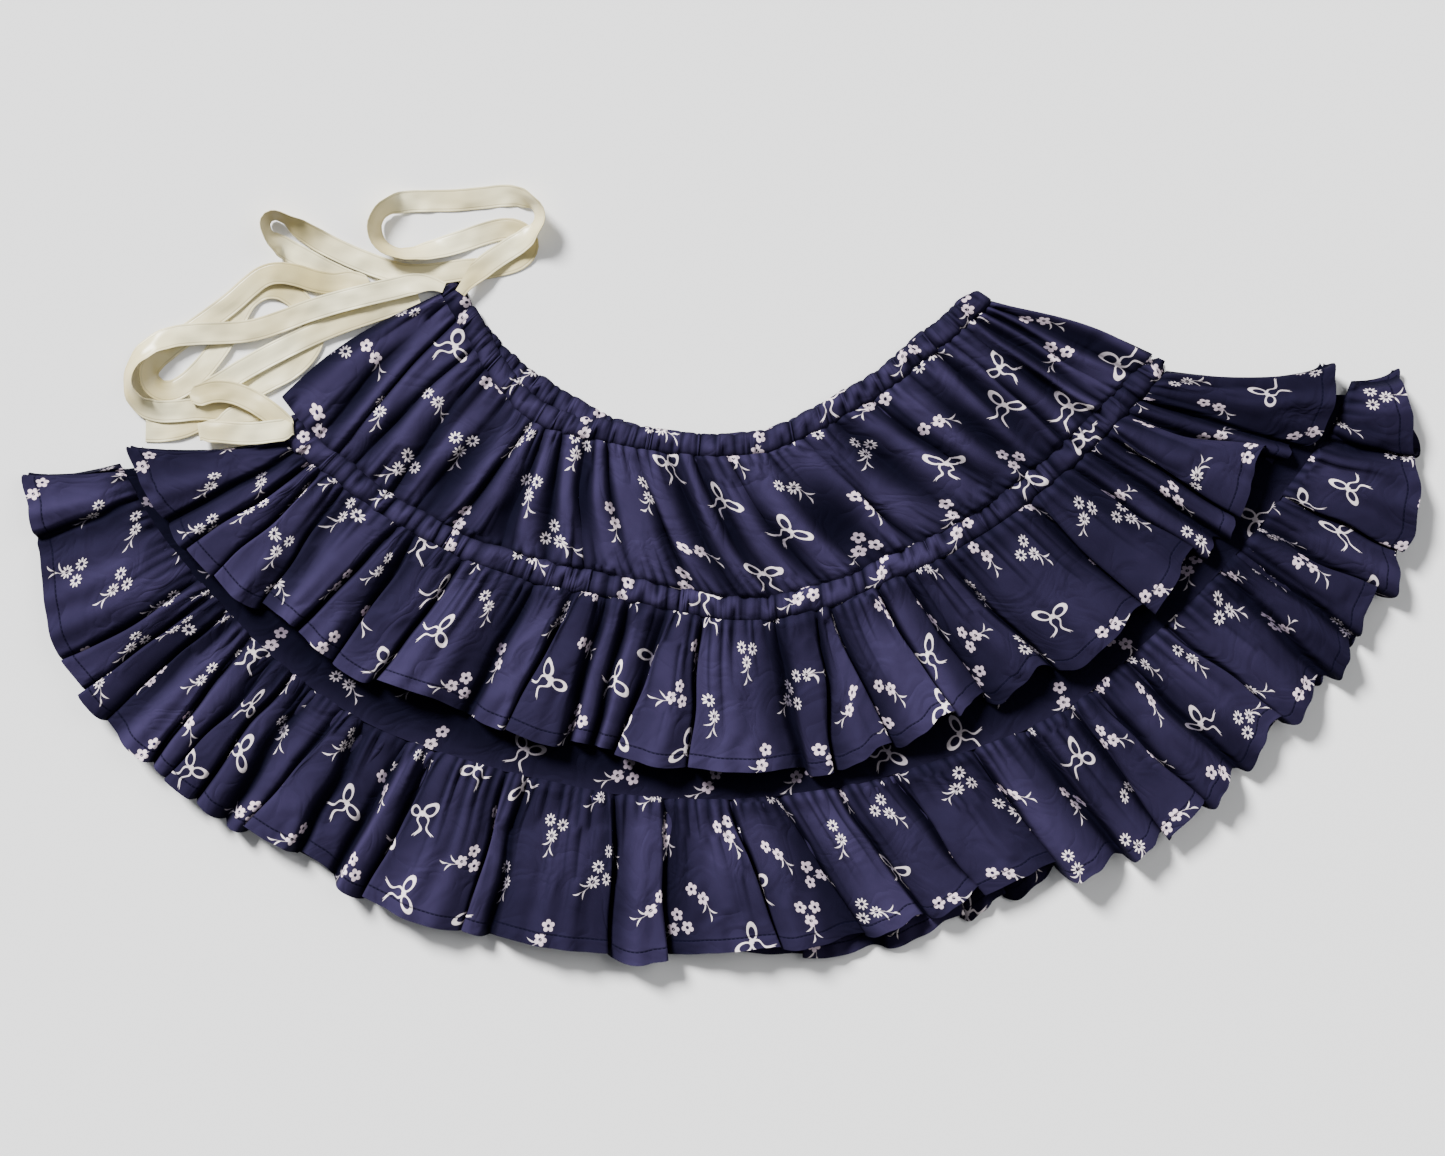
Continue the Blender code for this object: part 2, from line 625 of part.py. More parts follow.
def build_skirt():
    """Build every piece of the skirt and its drawstring."""
    clear_scene()
    skirt = bpy.data.collections.new("ruffled_mini_skirt")
    bpy.context.scene.collection.children.link(skirt)
    gap = SEAM_GAP / UNIT
    back_gap = BACK_SEAM_GAP / UNIT
    waist_depth = WAIST_CASING_DEPTH / UNIT
    middle_depth = MIDDLE_CASING_DEPTH / UNIT

    def cloth(name):
        return new_material(name + "_cloth", NAVY, 0.72)

    def waist_front(angle):
        return ring("waist", angle)

    def waist_back(angle):
        return ring("waist_back", angle)

    def middle(angle):
        return ring("middle", angle)

    # Ruched casings
    for name, ruches, edge, base in (
        ("waist_casing_front", WAIST_RUCHES_FRONT, waist_front, FRONT_WAIST_BASE),
        ("waist_casing_back", WAIST_RUCHES_BACK, waist_back, 0.0),
    ):
        casing(name, skirt, cloth(name), WAIST_CASING_ENDS, ruches, edge, waist_depth, base)
    for name, ruches, base in (
        ("middle_casing_front", MIDDLE_RUCHES_FRONT, FRONT_MIDDLE_BASE),
        ("middle_casing_back", MIDDLE_RUCHES_BACK, 0.0),
    ):
        casing(name, skirt, cloth(name), MIDDLE_CASING_ENDS, ruches, middle, middle_depth, base)

    # Upper panels
    def yoke_top_front(angle):
        return waist_front(angle) + waist_depth + gap

    def yoke_top_back(angle):
        return waist_back(angle) + waist_depth + back_gap

    def yoke_bottom_front(angle):
        return middle(angle) - gap

    def yoke_bottom_back(angle):
        return middle(angle) - back_gap

    def yoke_front_height(fold, profile, share, across):
        swell = mix(YOKE_SEAM_SWELL, 1.0, sin(pi * share) ** YOKE_SWELL_POWER)
        return mix(FRONT_WAIST_BASE, FRONT_MIDDLE_BASE, share) + fold.rise * 0.001 * profile * swell

    def yoke_back_height(fold, profile, share, across):
        return fold.rise * 0.001 * profile * sin(pi * share)

    gathered_sheet(
        "upper_panel_front", skirt, cloth("upper_panel_front"), UPPER_PANEL_FOLDS, FLUTE_SHAPE,
        YOKE_ROWS, yoke_top_front, yoke_bottom_front, yoke_front_height, YOKE_SIDE_BULGE,
    )
    back_yoke_folds = even_folds(
        BACK_YOKE_FOLDS,
        (UPPER_PANEL_FOLDS[0].top, UPPER_PANEL_FOLDS[-1].top),
        (UPPER_PANEL_FOLDS[0].bottom, UPPER_PANEL_FOLDS[-1].bottom),
        BACK_FOLD_HEIGHT * 1000.0,
    )
    gathered_sheet(
        "upper_panel_back", skirt, cloth("upper_panel_back"), back_yoke_folds, FLAT_FOLD_SHAPE,
        BACK_ROWS, yoke_top_back, yoke_bottom_back, yoke_back_height, YOKE_SIDE_BULGE,
    )

    # Upper ruffles
    def ruffle_top(angle):
        return middle(angle) + middle_depth + gap

    def upper_hem(angle):
        return ring("upper_hem", angle)

    def upper_front_height(fold, profile, share, across):
        swell = mix(UPPER_SEAM_SWELL, 1.0, share ** UPPER_SWELL_POWER)
        return FRONT_MIDDLE_BASE + fold.rise * 0.001 * profile * swell

    def upper_back_height(fold, profile, share, across):
        return fold.rise * 0.001 * profile * smooth_step(share * 2.0)

    gathered_sheet(
        "upper_ruffle_front", skirt, cloth("upper_ruffle_front"), UPPER_RUFFLE_FOLDS, FLUTE_SHAPE,
        RUFFLE_ROWS, ruffle_top, upper_hem, upper_front_height,
    )
    back_upper_folds = even_folds(
        BACK_UPPER_FOLDS,
        (UPPER_RUFFLE_FOLDS[0].top, UPPER_RUFFLE_FOLDS[-1].top),
        (UPPER_RUFFLE_FOLDS[0].bottom, UPPER_RUFFLE_FOLDS[-1].bottom),
        BACK_FOLD_HEIGHT * 1000.0,
    )
    gathered_sheet(
        "upper_ruffle_back", skirt, cloth("upper_ruffle_back"), back_upper_folds, FLAT_FOLD_SHAPE,
        BACK_ROWS, lambda angle: middle(angle) + middle_depth + back_gap,
        lambda angle: upper_hem(angle) - UPPER_BACK_HEM_RISE, upper_back_height,
    )

    # Lower panels
    def low_seam(angle):
        return ring("low_seam", angle)

    panel_folds = even_folds(PANEL_COLUMNS, LOWER_PANEL_TOP_ENDS, LOWER_PANEL_BOTTOM_ENDS, 0)
    for name, base in (
        ("lower_panel_front", FRONT_LOWER_PANEL_BASE),
        ("lower_panel_back", BACK_LOWER_PANEL_BASE),
    ):
        gathered_sheet(
            name, skirt, cloth(name), panel_folds, [(0.0, 0.0)], PANEL_ROWS,
            lambda angle: middle(angle) + LOWER_PANEL_TUCK, lambda angle: low_seam(angle) - back_gap,
            lambda fold, profile, share, across, base=base: base,
        )

    # Lower ruffles
    def front_hem_base(across):
        from_side = min(across, 1.0 - across)
        return mix(FRONT_EDGE_BASE, FRONT_HEM_BASE, smooth_step(from_side * SIDE_DROP_RATE))

    def lower_front_height(fold, profile, share, across):
        base = mix(FRONT_LOWER_PANEL_BASE, front_hem_base(across), smooth_step(share * HEM_DROP_RATE))
        swell = mix(LOWER_SEAM_SWELL, 1.0, share ** LOWER_SWELL_POWER)
        return base + fold.rise * 0.001 * profile * swell

    def lower_back_height(fold, profile, share, across):
        base = BACK_LOWER_PANEL_BASE * (1.0 - smooth_step(share * 2.0))
        return base + fold.rise * 0.001 * profile * smooth_step(share * 2.0 - 1.0)

    gathered_sheet(
        "lower_ruffle_front", skirt, cloth("lower_ruffle_front"), LOWER_RUFFLE_FOLDS, FLUTE_SHAPE,
        RUFFLE_ROWS, low_seam, lambda angle: ring("hem", angle), lower_front_height,
    )
    back_lower_folds = even_folds(
        BACK_LOWER_FOLDS,
        (LOWER_RUFFLE_FOLDS[0].top, LOWER_RUFFLE_FOLDS[-1].top),
        (LOWER_RUFFLE_FOLDS[0].bottom, LOWER_RUFFLE_FOLDS[-1].bottom),
        BACK_HEM_FOLD_HEIGHT * 1000.0,
    )
    gathered_sheet(
        "lower_ruffle_back", skirt, cloth("lower_ruffle_back"), back_lower_folds, FLAT_FOLD_SHAPE,
        BACK_ROWS, low_seam, lambda angle: ring("hem_back", angle), lower_back_height,
    )

    # Drawstring
    satin = new_material("ivory_satin", IVORY, 0.35)
    ribbon("ribbon_tail_left", skirt, satin, LEFT_TAIL)
    ribbon("ribbon_tail_right", skirt, satin, RIGHT_TAIL)


build_skirt()
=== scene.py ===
"""Ruffled mini skirt that lies flat in a fan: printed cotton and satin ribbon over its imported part."""

from collections import namedtuple
from math import cos, degrees, pi, radians, sin, sqrt

import bmesh
import bpy
from bpy.props import FloatProperty, FloatVectorProperty, IntProperty, PointerProperty
from mathutils import Matrix, Vector, noise


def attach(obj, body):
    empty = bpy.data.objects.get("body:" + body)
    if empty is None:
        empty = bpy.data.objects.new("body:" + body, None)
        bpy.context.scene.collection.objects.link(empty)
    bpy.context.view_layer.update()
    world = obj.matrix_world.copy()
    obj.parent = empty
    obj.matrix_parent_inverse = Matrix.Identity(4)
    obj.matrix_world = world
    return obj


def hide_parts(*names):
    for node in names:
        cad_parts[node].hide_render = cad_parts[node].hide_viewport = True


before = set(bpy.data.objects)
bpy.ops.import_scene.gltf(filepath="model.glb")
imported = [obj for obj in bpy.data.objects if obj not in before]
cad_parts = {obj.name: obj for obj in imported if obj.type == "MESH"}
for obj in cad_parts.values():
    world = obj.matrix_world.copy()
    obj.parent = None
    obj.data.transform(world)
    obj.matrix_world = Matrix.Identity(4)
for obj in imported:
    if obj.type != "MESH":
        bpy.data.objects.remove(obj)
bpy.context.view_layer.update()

bl_info = {
    "name": "Ruffled Skirt",
    "version": (1, 0, 0),
    "blender": (4, 5, 0),
    "location": "3D View > Sidebar > Skirt",
    "description": "Makes the cloth, ribbon and stage of a ruffled mini skirt laid flat",
    "category": "Object",
}

# Millimetres in a metre
MILLIMETRES = 1000.0

# Layout grid: one unit in metres, the skirt's plan centre, and the centre of the fan
UNIT = 0.00068
PLAN_CENTRE = (725.267, 622.435)
FAN_CENTRE = (724.0, 100.0)

# Depths of the casings and gaps at the seams, in metres
WAIST_CASING_DEPTH = 0.0156
MIDDLE_CASING_DEPTH = 0.0170
SEAM_GAP = 0.0003

# Heights of the undersides of the layers where they lie flat, in metres
BACK_LOWER_PANEL_BASE = 0.0033
FRONT_LOWER_PANEL_BASE = 0.0047
FRONT_WAIST_BASE = 0.0035
FRONT_MIDDLE_BASE = 0.0061
FRONT_SIDE_BASE = 0.0042
FRONT_HEM_BASE = 0.0050
FRONT_EDGE_BASE = 0.0020
BACK_BASE = 0.0006

# Distances of the rings from the fan centre, at the angle that each row starts with
Section = namedtuple("Section", "angle waist waist_back middle upper_hem low_seam hem hem_back")
SECTIONS = [Section(*row) for row in (
    (-62, 322, 322, 534, 690, 706, 786, 784), (-58, 322, 322, 531, 694, 706, 812, 806),
    (-55, 322, 322, 530, 697, 708, 830, 824), (-50, 325, 324, 528, 698, 711, 864, 856),
    (-45, 331, 327, 518, 694, 712, 872, 862), (-40, 340, 330, 514, 683, 716, 875, 862),
    (-35, 348, 331, 508, 681, 718, 874, 866), (-30, 352, 331, 504, 677, 718, 866, 862),
    (-25, 347, 333, 498, 668, 713, 872, 858), (-20, 341, 336, 493, 666, 708, 874, 862),
    (-15, 338, 337, 487, 664, 704, 866, 858), (-10, 336, 336, 486, 661, 703, 860, 852),
    (-5, 334, 334, 490, 667, 701, 858, 850), (0, 335, 334, 496, 669, 700, 849, 848),
    (5, 334, 333, 497, 673, 698, 849, 859), (10, 330, 329, 494, 673, 697, 845, 861),
    (15, 323, 322, 489, 665, 695, 838, 855), (20, 317, 316, 483, 657, 695, 828, 846),
    (25, 313, 312, 482, 655, 698, 846, 840), (30, 311, 310, 482, 657, 698, 856, 846),
    (35, 307, 306, 481, 663, 690, 850, 842), (40, 306, 305, 480, 661, 686, 838, 830),
    (45, 308, 307, 481, 657, 684, 836, 828), (50, 311, 310, 483, 661, 684, 826, 820),
    (55, 316, 315, 489, 652, 684, 818, 812), (58, 320, 319, 494, 662, 686, 800, 796),
    (62, 322, 321, 500, 676, 690, 786, 782), (66, 324, 323, 500, 668, 688, 744, 742),
    (68, 324, 323, 500, 668, 686, 727, 725),
)]

# Fold tables: each row starts at a valley, whose angle is given at the piece's top and at its
# bottom edge. rise is the crest's height in millimetres, and reach, where it is given, moves
# the bottom edge of the fold out in layout units. The last row is the far edge of the piece.
Fold = namedtuple("Fold", "top bottom rise reach", defaults=(0,))
UPPER_PANEL_FOLDS = [Fold(*row) for row in (
    (-55.6, -56.0, 4), (-53.6, -50.0, 5), (-50.6, -47.3, 4), (-45.2, -45.2, 5), (-41.5, -40.2, 4),
    (-36.0, -37.0, 5), (-30.8, -32.5, 4), (-28.5, -26.5, 5), (-25.8, -21.0, 5), (-22.4, -16.5, 5),
    (-18.8, -10.5, 5), (-14.0, -3.5, 5), (-9.0, 1.8, 5), (-5.0, 5.5, 5), (0.6, 11.5, 6),
    (7.0, 16.5, 5), (13.0, 23.5, 5), (19.0, 30.0, 5), (26.0, 36.0, 5), (34.0, 39.5, 4),
    (39.8, 41.8, 5), (43.0, 44.8, 4), (46.6, 48.5, 6), (48.8, 51.2, 4), (50.6, 53.4, 4),
    (51.9, 56.0, 4), (53.0, 59.2, 0),
)]
UPPER_RUFFLE_FOLDS = [Fold(*row) for row in (
    (-52.3, -59.2, 4), (-50.5, -52.7, 7, 2), (-48.6, -49.4, 6), (-47.3, -46.4, 6, 2),
    (-44.4, -42.1, 8, -6), (-37.3, -38.8, 9), (-35.2, -34.1, 7, 5), (-29.5, -31.0, 10, -6),
    (-21.4, -22.6, 7), (-17.0, -18.6, 8, 2), (-13.4, -13.6, 6, -6), (-10.6, -11.5, 6, -4),
    (-6.4, -9.0, 9, 2), (-2.4, -2.8, 10), (5.6, 6.9, 6, 6), (10.3, 8.9, 6, 2), (12.0, 14.3, 9),
    (17.3, 20.3, 6, -6), (20.8, 23.4, 7), (25.5, 30.0, 10), (37.0, 40.4, 8), (43.3, 45.8, 5, 2),
    (46.0, 48.4, 6, 2), (48.5, 51.3, 9, -6), (52.0, 56.8, 5, 5), (54.0, 58.6, 6, 4),
    (58.4, 66.2, 0),
)]
LOWER_RUFFLE_FOLDS = [Fold(*row) for row in (
    (-58.9, -61.3, 6), (-55.5, -57.4, 5), (-47.6, -49.2, 6, -4), (-45.9, -46.9, 7, 6),
    (-44.2, -44.6, 7, 4), (-41.3, -40.7, 6), (-38.8, -39.0, 6, 2), (-37.0, -37.0, 6, 2),
    (-35.0, -34.7, 4, 4), (-32.0, -33.0, 8, -2), (-30.0, -29.5, 4, -8), (-26.2, -26.6, 7, 4),
    (-23.9, -24.0, 10), (-17.9, -17.3, 5), (-16.2, -15.7, 9), (-9.0, -8.0, 8, 8), (-5.0, -3.9, 8),
    (0.6, 3.6, 7), (4.4, 9.4, 7), (9.4, 13.9, 7), (13.8, 18.6, 6), (20.8, 23.4, 9, 6),
    (25.6, 27.8, 7, 2), (29.6, 31.3, 6), (32.0, 34.0, 8, 2), (35.4, 37.5, 6), (40.0, 41.8, 6),
    (46.2, 46.2, 7, 6), (48.6, 49.4, 6, -6), (51.4, 52.8, 6, 4), (54.3, 56.4, 8, 4),
    (60.3, 63.2, 7), (65.8, 68.0, 0),
)]

# Ribbon routes on the layout grid: place, height of the ribbon's lower edge in millimetres,
# and how far it leans over in degrees, where it does, with its left edge down where the lean
# is positive. Two stops at one place are a bend, where the ribbon turns back over or under
# itself.
Stop = namedtuple("Stop", "across down height lean", defaults=(0,))
LEFT_TAIL = [Stop(*row) for row in (
    (444.7, 288.2, 4.4), (436.0, 285.0, 4.5), (424.0, 283.5, 4.8), (410.0, 285.5, 5.2),
    (394.0, 289.5, 5.8), (370.0, 295.0, 5.8), (340.0, 302.5, 5.6), (310.0, 311.5, 5.0),
    (282.0, 322.0, 4.4), (254.0, 330.5, 4.2), (225.0, 333.5, 4.2), (196.0, 334.5, 4.2),
    (170.0, 338.5, 4.0, -6), (149.0, 349.0, 3.2, -20), (134.0, 366.0, 2.2, -32),
    (130.0, 385.0, 2.0, -34), (137.0, 401.0, 2.0, -26), (153.0, 410.5, 2.2, -8),
    (174.0, 411.5, 2.4), (196.0, 409.5, 2.4), (218.0, 410.5, 2.4), (240.0, 412.5, 2.4),
    (262.0, 415.5, 2.4), (262.0, 415.5, 4.2), (247.5, 413.5, 4.3), (234.0, 418.5, 4.4),
    (222.0, 429.0, 4.5), (204.0, 432.0, 4.6), (204.0, 432.0, 9.4), (222.0, 432.5, 9.8),
    (240.0, 434.0, 10.4), (258.0, 434.0, 11.4), (275.0, 432.0, 12.2), (294.0, 430.0, 12.2),
    (294.0, 430.0, 10.2), (287.0, 426.5, 10.1), (277.0, 417.0, 9.9), (264.0, 407.5, 9.6),
    (251.0, 400.0, 8.8), (234.0, 393.5, 8.2), (214.0, 392.5, 7.6), (193.5, 399.0, 6.2),
    (193.5, 399.0, 4.4), (208.0, 391.5, 4.2), (226.0, 381.5, 3.8), (246.0, 369.0, 3.2),
    (276.0, 352.5, 2.6), (306.0, 338.0, 2.6), (334.0, 326.0, 2.6), (362.0, 316.0, 2.4),
    (388.0, 307.0, 2.4), (404.0, 302.0, 2.4), (419.0, 297.0, 2.4),
)]
RIGHT_TAIL = [Stop(*row) for row in (
    (461.0, 294.0, 6.8), (467.0, 286.0, 6.8), (476.0, 275.5, 5.6), (486.0, 266.0, 4.2),
    (498.0, 257.0, 3.2), (512.0, 248.0, 2.8), (526.0, 239.0, 2.8, 12), (537.0, 228.0, 2.6, 34),
    (540.5, 216.0, 2.4, 44), (534.5, 205.0, 2.0, 36), (521.0, 198.0, 1.0, 18),
    (504.0, 196.0, 0.7, 4), (484.0, 198.0, 0.7), (457.0, 200.5, 0.7), (430.0, 201.0, 0.7),
    (405.0, 202.5, 0.9, 8), (388.0, 208.0, 1.1, 30), (377.5, 219.5, 1.0, 44),
    (376.0, 233.0, 1.0, 46), (382.0, 245.5, 1.0, 40), (395.0, 253.0, 1.0, 34),
    (411.0, 254.5, 1.0, 26), (430.0, 251.0, 0.9, 14), (457.0, 243.0, 0.7, 4), (484.0, 234.0, 0.7),
    (502.0, 229.5, 0.7), (516.0, 230.5, 0.7), (526.0, 238.5, 0.7), (527.0, 250.0, 0.7),
    (518.0, 259.5, 0.7), (502.0, 265.0, 0.7), (484.0, 268.5, 0.8), (464.0, 270.0, 1.2),
    (444.0, 273.0, 2.2), (424.0, 275.0, 2.4), (399.0, 273.5, 2.4), (366.0, 262.5, 2.4),
    (332.0, 247.5, 2.4), (303.0, 231.0, 1.8, 18), (286.0, 220.0, 1.2, 50),
    (274.5, 216.5, 1.0, 62), (267.0, 222.5, 1.0, 66), (269.0, 233.5, 1.2, 58),
    (277.0, 242.5, 1.2, 24), (288.0, 250.0, 0.8), (302.0, 257.5, 0.8), (328.0, 271.5, 0.8),
    (350.0, 281.5, 0.8), (368.0, 288.5, 0.8), (368.0, 288.5, 2.6), (352.0, 282.3, 2.6),
    (334.0, 284.0, 2.5), (316.0, 281.5, 2.8), (298.0, 276.0, 3.6), (280.0, 273.5, 3.8),
    (264.0, 277.0, 3.2), (250.0, 287.0, 2.5), (232.0, 303.0, 2.5), (212.0, 318.0, 2.4),
    (190.0, 333.5, 2.2), (171.0, 347.5, 1.4), (156.0, 361.0, 0.8, -14), (150.0, 375.0, 0.7, -20),
    (156.0, 387.5, 0.7, -10), (169.0, 391.5, 0.7), (184.0, 385.5, 0.7), (199.0, 372.5, 0.7),
    (214.0, 355.0, 0.7), (226.5, 336.5, 0.7), (236.5, 318.0, 0.7), (246.0, 301.5, 0.7),
    (259.0, 291.0, 0.7), (275.0, 288.0, 0.7), (290.0, 293.5, 0.7), (303.0, 305.0, 0.7),
    (312.5, 320.0, 0.7), (314.0, 337.0, 0.7), (306.0, 354.0, 0.7), (290.0, 369.0, 0.7),
    (268.0, 381.0, 0.7), (246.0, 392.0, 0.7), (225.0, 404.0, 0.7), (204.0, 417.0, 0.7),
    (184.0, 427.0, 0.7), (163.0, 431.0, 0.7), (146.0, 431.0, 0.7),
)]

# Ends of the pieces that have no fold table of their own, in degrees of the fan
WAIST_CASING_ENDS = (-55.4, 52.4)
MIDDLE_CASING_ENDS = (-53.2, 58.6)
LOWER_PANEL_TOP_ENDS = (-52.0, 57.5)
LOWER_PANEL_BOTTOM_ENDS = (-58.4, 64.6)

# How finely the pieces are divided: pitches in metres, then counts
FLUTE_PITCH = 0.0014
YOKE_PITCH = 0.0013
RIBBON_STEP = 0.003
LEAST_FOLD_STEPS = 10
RUFFLE_ROWS = 34
YOKE_ROWS = 30
PANEL_COLUMNS = 240
PANEL_ROWS = 24
RUCHE_STEPS = 10
CASING_ROWS = 10
RIBBON_COLUMNS = 6
BEND_STEPS = 6

# Seams: how far a piece reaches under its neighbour in layout units, how far a casing runs past
# its ends in degrees, and how far a ruffle sinks at its seam in metres
SEAM_TUCK = 1.5
LOWER_PANEL_TUCK = 6.0
CASING_REACH = 0.6
SEAM_SINK = 0.0007

# Waves in the ruffles and the upper panel, in metres: the size of the soft and of the fine ones,
# and the height of the fine ones
SOFT_WAVE = 0.034
FINE_WAVE = 0.010
FINE_WAVE_HEIGHT = 0.0005

# Flutes of the ruffles: the run of their sides in metres and its most as a share of the flute's
# width, how far they hang over the valleys as a share of that run, and their waves in metres.
# BROAD_FLUTE is the width from which a flute has its broad waves whole.
SIDE_RUN = 0.0055
SIDE_MOST = 0.38
OVERHANG = 1.25
BROAD_WAVE = 0.020
BROAD_WAVE_HEIGHT = 0.0019
BROAD_FLUTE = 0.03
FLUTE_WAVE_HEIGHT = 0.0016

# Hems of the ruffles: bow, slant, wander and inset in layout units, the spans of a whole slant
# and of a corner in degrees, the corner's cut as a share of the drop, and the size of the wander
# and the turned edge in metres. The sides sink to their height over SIDE_COLUMNS grid columns.
HEM_BOW = 3.0
HEM_SLANT = 8.0
SLANT_SPAN = 4.0
HEM_WANDER = 1.6
BACK_HEM_INSET = 4.0
CORNER_SPAN = 1.6
CORNER_CUT = 0.08
HEM_WANDER_SIZE = 0.016
HEM_RIDGE = 0.0005
HEM_RIDGE_RUN = 0.0016
SIDE_COLUMNS = 18.0

# Height of a ruffle's folds at its seam as a share of that at its hem, and the power that it
# grows by in between
UPPER_SWELL = (0.2, 0.75)
LOWER_SWELL = (0.16, 0.7)

# Upper panel: the height of its waves in metres, and how far its sides bulge out and over which
# width, in degrees
YOKE_WAVE_HEIGHT = 0.0018
YOKE_SIDE_BULGE = 1.4
YOKE_BULGE_SPREAD = 6.0

# Lower panel: the size and height of its soft and small waves in metres, where its edge rises as
# a share of its length, its painted light beside the upper ruffle's hem, in the hem's painted
# shadow, and clear of it, and the width of that painted shadow in layout units
PANEL_SOFT_WAVE = (0.045, 0.0005)
PANEL_SMALL_WAVE = (0.020, 0.0002)
PANEL_RIDGE_START = 0.955
PANEL_RIDGE_RUN = 0.02
PANEL_PAINTED_LIGHT = (0.04, 0.48)
PANEL_SHADE = 50.0

# Ruches of the casings: heights in metres, how far creases stray in ruches, and how far the edges
# are pulled in, swell and wander in layout units, with the size of the wander in metres. A wave
# has its size and height in metres, how far it runs across the casing in layout units, and its
# salt. At its ends a casing narrows over END_RUCHES ruches, by a share of its depth.
PUFF_LIFT = 0.0005
PUFF_HEIGHT = 0.0042
FINE_CREASE_DEPTH = 0.0008
PUFF_WAVES = ((0.009, 0.0009, 20.0, 0.0), (0.0035, 0.0006, 9.0, 5.0))
RUCHE_JITTER = 1.1
RUCHE_PULL = 3.4
RUCHE_SWELL = 1.2
EDGE_WANDER = 1.3
EDGE_WANDER_SIZE = 0.018
END_RUCHES = 1.6
END_NARROWING = 0.32

# Distance from the fan centre at which noise that runs along a piece is read
NOISE_RING = 300.0

# Light on the right side as a share of the left side's, the angle from which it falls, and the
# degrees over which it does
RIGHT_SHADE = 0.76
SHADE_START = 12.0
SHADE_RUN = 28.0

# Ribbon: its lean against its solid's and at most, its wobble in degrees, and lengths in metres.
# MOST_SLOPE holds the curve back where two stops are close together.
LEAN_GAIN = 1.8
LEAN_MOST = 64.0
WOBBLE = 13.0
WOBBLE_LENGTH = 0.03
PAINTED_SHEEN_LENGTH = 0.045
GATHERED_END = 0.025
BEND_REACH = 0.0001
MOST_SLOPE = 1.2

# Scatter of the print: where its first layer starts in metres, how far motifs stray from a grid,
# and the chances of a daisy sprig, of anything but a bow, and of two flowers in place of three
PRINT_START = (0.3, 0.7)
SCATTER = 0.24
DAISY_CHANCE = 0.42
NO_BOW_CHANCE = 0.80
TWO_FLOWER_CHANCE = 0.45

# Motifs of the print: the units that they are drawn in, to a metre, and sizes and places in
# those units. A leaf has its base, its turn in degrees, its length and its bend.
MOTIF_UNITS = 1090.0
FLOWER_RADIUS = 5.1
FLOWER_SPACING = 6.9
CLUSTER_AHEAD = 6.0
STEM_BASE = 15.0
LEAVES = (
    ((-3.5, -0.6), 132.0, 9.5, 1.4),
    ((-7.5, -0.9), -144.0, 9.0, -1.4),
    ((-12.0, 0.2), 158.0, 7.5, 1.2),
)
LEAF_HALF_WIDTH = 0.74
LOOP_CENTRE = (7.0, 2.9)
LOOP_REACH = (7.6, 4.3)
LOOP_TILT = (0.87, 0.49)
KNOT_RADIUS = 2.1
TAIL_LENGTH = 14.5
TAIL_WAVE = 0.45

# Surfaces: the pitch of the cotton's threads and of the satin's edge ribs, and the relief of
# both, in metres, the painted shadow colour of the cotton's stitched hem, and its gloss colour
THREAD = 0.00042
RIB = 0.0009
COTTON_RELIEF = 0.00005
SATIN_RELIEF = 0.00006
STITCH_SHADOW = (0.0012, 0.0010, 0.004, 1.0)
COTTON_GLOSS = (0.30, 0.34, 1.0, 1.0)

# Camera and stage: the sensor in millimetres, places and sizes in metres, and how soft the
# lights' shadows are in degrees
SENSOR_WIDTH = 36.0
CAMERA_ACROSS = -0.0019
CAMERA_UP = 0.0302
FLOOR_HALF = 6.0
DAYLIGHT_PLACE = (-1.15, 1.4, 1.2)
DAYLIGHT_SOFTNESS = 16.0
SIDE_LIGHT_PLACE = (1.6, 0.7, 1.3)
SIDE_LIGHT_SOFTNESS = 50.0
SKY_COLOUR = (0.95, 0.97, 1.0, 1.0)


def colour_setting(name, description, default):
    """Return a property that holds a colour."""
    return FloatVectorProperty(
        name=name, description=description, subtype="COLOR", size=4, min=0.0, max=1.0,
        default=default,
    )


def length_setting(name, description, default):
    """Return a property that holds a length in metres."""
    return FloatProperty(name=name, description=description, unit="LENGTH", default=default)


def factor_setting(name, description, default):
    """Return a property that holds a plain number."""
    return FloatProperty(name=name, description=description, default=default)


def count_setting(name, description, default):
    """Return a property that holds a number of like things."""
    return IntProperty(name=name, description=description, default=default)


class SkirtClothSettings(bpy.types.PropertyGroup):
    """Sizes and colours of the printed cotton."""

    navy: colour_setting("Navy", "Ground colour of the cotton", (0.0235, 0.0181, 0.0455, 1.0))
    cream: colour_setting("Cream", "Colour of daisies, leaves and bows", (0.97, 0.86, 0.87, 1.0))
    blush: colour_setting("Blush", "Colour of the five-petal blossoms", (0.95, 0.76, 0.85, 1.0))
    wall: length_setting("Cloth wall", "Thickness of the cotton", 0.0004)
    sprig_spacing: length_setting(
        "Sprig spacing", "Distance between sprigs of one layer of the print", 0.064,
    )
    hem_depth: length_setting("Hem depth", "Depth of the turned hem", 0.009)
    stitch_length: length_setting("Stitch length", "Length of one stitch and its gap", 0.0032)
    gather_height: length_setting(
        "Gather height", "Height of the small gathers at a seam", 0.0042,
    )
    gather_width: length_setting("Gather width", "Width of the small gathers at a seam", 0.0075)
    flute_gain: factor_setting(
        "Flute gain", "Height of the flutes against the fold tables", 1.25,
    )
    yoke_gain: factor_setting(
        "Panel fold gain", "Height of the upper panel's folds against their table", 1.35,
    )
    waist_ruches: count_setting("Waist ruches", "Number of ruches along the waist casing", 72)
    middle_ruches: count_setting("Middle ruches", "Number of ruches along the middle casing", 94)


